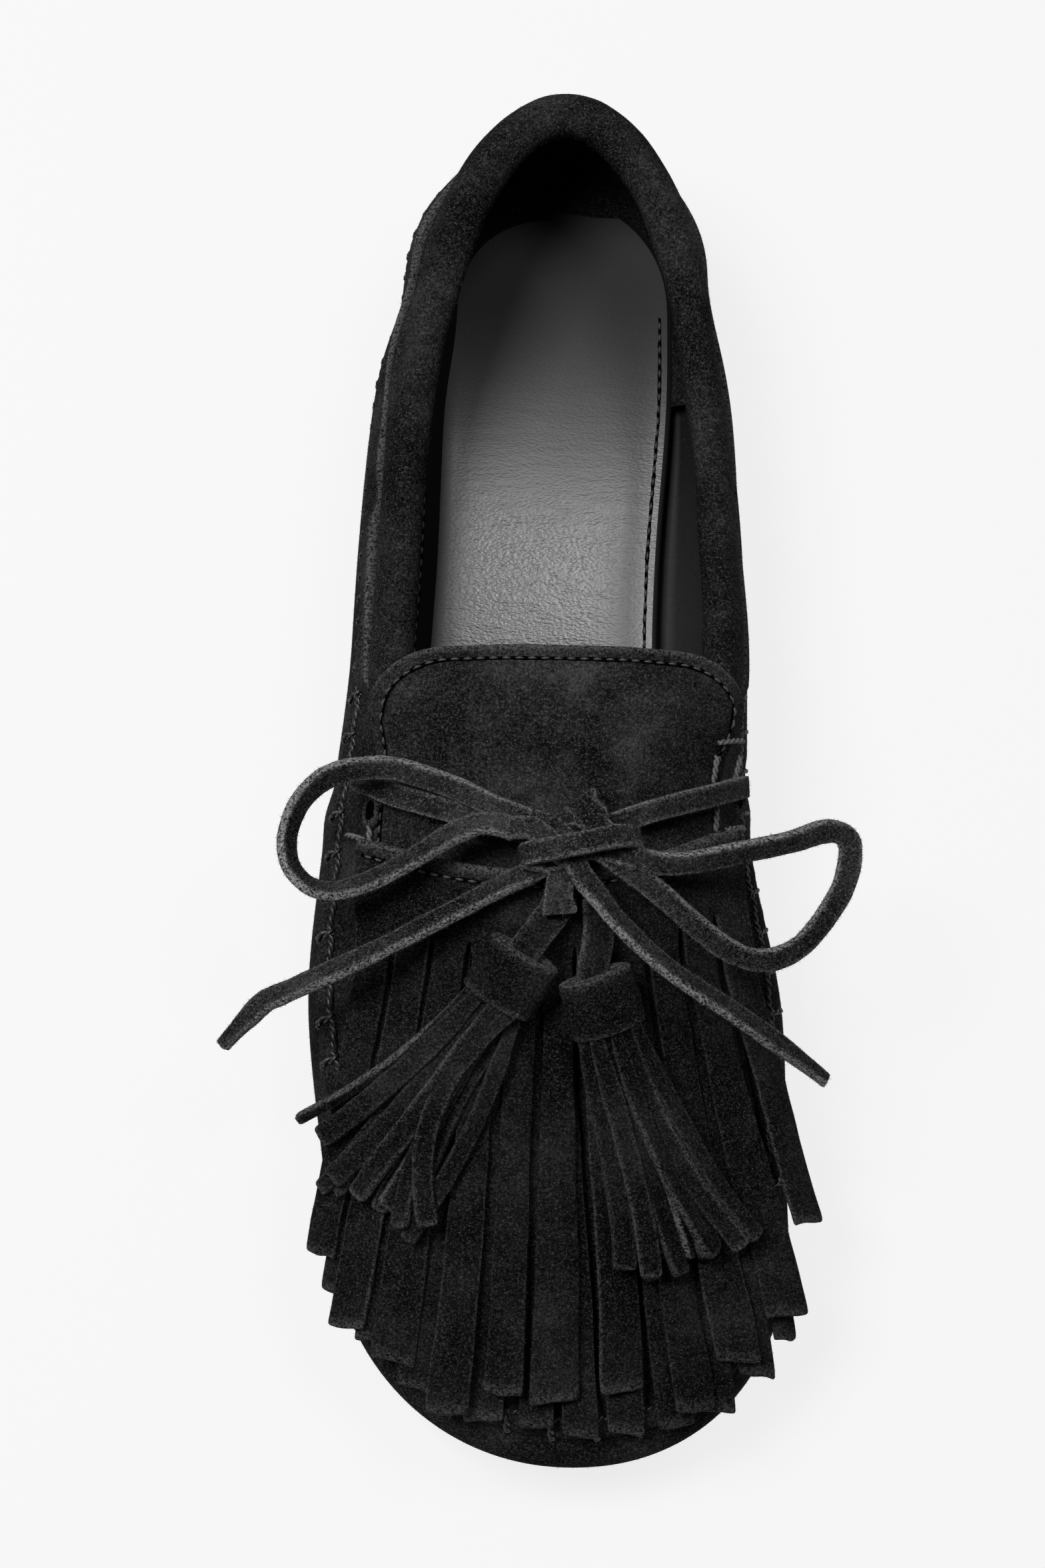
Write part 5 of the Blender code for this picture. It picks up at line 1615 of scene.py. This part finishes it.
def make_fine_stitches():
    """The machine stitching of the tongue's edge, the kiltie's top and the insole's edge."""
    bm, _ = new_mesh()
    places, ups = [], []
    half = seam_half(THROAT_SHARE) * TONGUE_HALF
    scale = 1 - 1.7 * MM / half
    samples = 900
    route = [(-1, 0.80 - 0.76 * i / samples) for i in range(samples)]
    route += [(-1 + 2 * i / samples, None) for i in range(samples)]
    route += [(1, 0.04 + 0.76 * i / samples) for i in range(samples + 1)]
    for w, u in route:
        x, y = tongue_place(w, u or 0.0)
        centre = centre_at(share_at(y))
        x = centre + (x - centre) * scale
        if u is None:
            y -= 2.8 * MM
        elif y > tongue_place(w, 0.0)[1] - 2.8 * MM:
            continue
        places.append(on_tongue(x, y, 0.32 * MM))
        ups.append(crown_normal(x, y))
    add_stitches(bm, places, ups)
    places, ups = [], []
    for i in range(1200):
        w = KILTIE_HALF * (-0.97 + 1.94 * i / 1199)
        y = kiltie_top_y(w) - 3.0 * MM
        share = share_at(y)
        x = centre_at(share) + w * seam_half(share)
        places.append(fringe_point(x, y, 1, 0.1 * MM))
        ups.append(crown_normal(x, y))
    add_stitches(bm, places, ups)
    top = GAP + WALL + GAP + INSOLE_THICKNESS + 0.15 * MM
    for side, curled in ((-1, 1.0), (1, MEDIAL_CURL)):
        cols = [c for c in half_columns(side, 24) if GRIP_END * 0.6 < c.share < THROAT_SHARE + 0.02]
        rise = top + INSOLE_CURL * 0.44 * curled
        places = [foot_point(c, inset=WALL + 3.6 * MM, lower=-rise) for c in cols]
        add_stitches(bm, places, [Vector((0, 0, 1))] * len(places), length=1.4 * MM, pitch=2.2 * MM)
    piece("fine_stitches", bm, [FINE_THREAD, PAINTED_SHADE])


def make_tacks():
    """The box-tack stitches beside the thong's holes, in grey thread."""
    bm, _ = new_mesh()
    for start, end, lift in TACKS:
        ends = []
        for x, y in (start, end):
            x, y = x * MM, y * MM
            ends.append(on_tongue(x, y, lift * MM))
        a, b = ends
        rise = Vector((0, 0, 0.5 * MM))
        path = [a, a.lerp(b, 0.15) + rise, a.lerp(b, 0.4) + rise * 1.5, a.lerp(b, 0.6) + rise * 1.5,
                a.lerp(b, 0.85) + rise, b]
        rows = smooth_route([tuple(p) for p in path], 4)
        add_twist(bm, [Vector(row) for row in rows], 0.55 * MM)
    piece("tack_stitches", bm, [TACK_THREAD])


def make_holes():
    """The mouths of the thong's holes, where it dives under the saddle's sides, each a suede lip round a
    shallow floor of painted shade.
    """
    bm, edge = new_mesh()
    for (x, y), lift, heading in LACE_HOLES:
        x, y = x * MM, y * MM
        middle = on_tongue(x, y, lift * MM)
        normal = crown_normal(x, y)
        a = math.radians(heading)
        long_way = Vector((math.cos(a), math.sin(a), 0))
        long_way = (long_way - normal * long_way.dot(normal)).normalized()
        short_way = normal.cross(long_way)
        rim, lip, floor = [], [], []
        for k in range(24):
            b = 2 * math.pi * k / 24
            rough = 1 + 0.35 * noise.noise(Vector((x * 500, k * 0.7, 3.0)))
            spot = (long_way * 2.7 * math.cos(b) + short_way * 1.6 * math.sin(b)) * rough * MM
            lip.append(bm.verts.new(middle + spot * 1.35 - normal * 0.3 * MM))
            rim.append(bm.verts.new(middle + spot + normal * 0.45 * MM))
            floor.append(bm.verts.new(middle + spot * 0.7 + normal * 0.1 * MM))
        for k in range(24):
            j = (k + 1) % 24
            rim[k][edge] = 0.5
            add_face(bm, [lip[k], lip[j], rim[j], rim[k]])
            add_face(bm, [rim[k], rim[j], floor[j], floor[k]])
        # The floor is painted shade, not a real hole.
        add_face(bm, floor, 1)
    piece("lace_holes", bm, [SUEDE, PAINTED_SHADE])


def make_nap(name, sources, count, reach, seed):
    """Short loose fibres of the suede's nap over some pieces, as one joined mesh."""
    rng = numpy.random.default_rng(seed)
    graph = bpy.context.evaluated_depsgraph_get()
    corners = []
    for source in sources:
        evaluated = source.evaluated_get(graph)
        mesh = evaluated.to_mesh()
        mesh.calc_loop_triangles()
        places = numpy.empty(len(mesh.vertices) * 3)
        mesh.vertices.foreach_get("co", places)
        index = numpy.empty(len(mesh.loop_triangles) * 3, dtype=numpy.int64)
        mesh.loop_triangles.foreach_get("vertices", index)
        corners.append(places.reshape(-1, 3)[index.reshape(-1, 3)])
        evaluated.to_mesh_clear()
    corners = numpy.concatenate(corners)
    cross = numpy.cross(corners[:, 1] - corners[:, 0], corners[:, 2] - corners[:, 0])
    area = numpy.linalg.norm(cross, axis=1)
    normals = cross / numpy.maximum(area, 1e-12)[:, None]
    picked = rng.choice(len(area), size=count, p=area / area.sum())
    u, v = rng.random((2, count, 1))
    flip = u + v > 1
    u, v = numpy.where(flip, 1 - u, u), numpy.where(flip, 1 - v, v)
    a, b, c = corners[picked, 0], corners[picked, 1], corners[picked, 2]
    root = a + (b - a) * u + (c - a) * v
    normal = normals[picked]
    lean = rng.normal(size=(count, 3))
    lean -= normal * (lean * normal).sum(axis=1, keepdims=True)
    lean /= numpy.linalg.norm(lean, axis=1, keepdims=True)
    length = reach * rng.uniform(0.45, 1.0, (count, 1)) ** 1.5
    tip = root + normal * length * rng.uniform(0.35, 0.9, (count, 1)) + lean * length * 0.7
    wide = numpy.cross(normal, lean) * FIBRE_WIDTH / 2
    root = root - normal * 0.05 * MM
    verts = numpy.stack((root - wide, root + wide, tip), axis=1).reshape(-1, 3)
    mesh = bpy.data.meshes.new(name)
    mesh.from_pydata(verts.tolist(), [], numpy.arange(3 * count).reshape(-1, 3).tolist())
    mesh.materials.append(NAP_FIBRE)
    made = new_object(name, mesh)
    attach(made, ROOT)


def main():
    make_camera()
    make_studio()
    knot = make_knot()
    thongs = [
        knot,
        make_cord("bow_loop_lateral_thong", "bow_loop_lateral", LOOP_LATERAL, "knot"),
        make_cord("bow_loop_medial_thong", "bow_loop_medial", LOOP_MEDIAL, "knot"),
        make_cord("lace_end_lateral_thong", "lace_end_lateral", END_LATERAL, "bare"),
        make_cord("lace_end_medial_thong", "lace_end_medial", END_MEDIAL, "bare"),
    ]
    dress_cad()
    body = [make_upper(), make_collar(), make_tongue()]
    make_insole()
    body.append(make_heel_grip())
    fringe = [
        make_fringe("kiltie_under_suede", "kiltie_under", UNDER_STRANDS, 0, 0.03, seed=5),
        make_fringe("kiltie_over_suede", "kiltie_over", OVER_STRANDS, 1, 0.0, seed=11),
    ]
    thongs.append(make_crossing())
    make_strap("tassel_strap_lateral_suede", "tassel_strap_lateral", STRAP_LATERAL, TASSEL_LATERAL)
    make_strap("tassel_strap_medial_suede", "tassel_strap_medial", STRAP_MEDIAL, TASSEL_MEDIAL)
    tassels = [
        make_tassel("tassel_lateral_suede", "tassel_lateral", TASSEL_LATERAL, TOP_LATERAL, seed=3),
        make_tassel("tassel_medial_suede", "tassel_medial", TASSEL_MEDIAL, TOP_MEDIAL, seed=8),
    ]
    make_seam()
    make_fine_stitches()
    make_tacks()
    make_holes()
    make_nap("nap_of_body", body, 120000, NAP_REACH, seed=21)
    make_nap("nap_of_fringe", fringe, 110000, NAP_REACH, seed=22)
    make_nap("nap_of_tassels", tassels, 70000, NAP_REACH, seed=23)
    make_nap("nap_of_thongs", thongs, 50000, THONG_NAP_REACH, seed=24)


main()
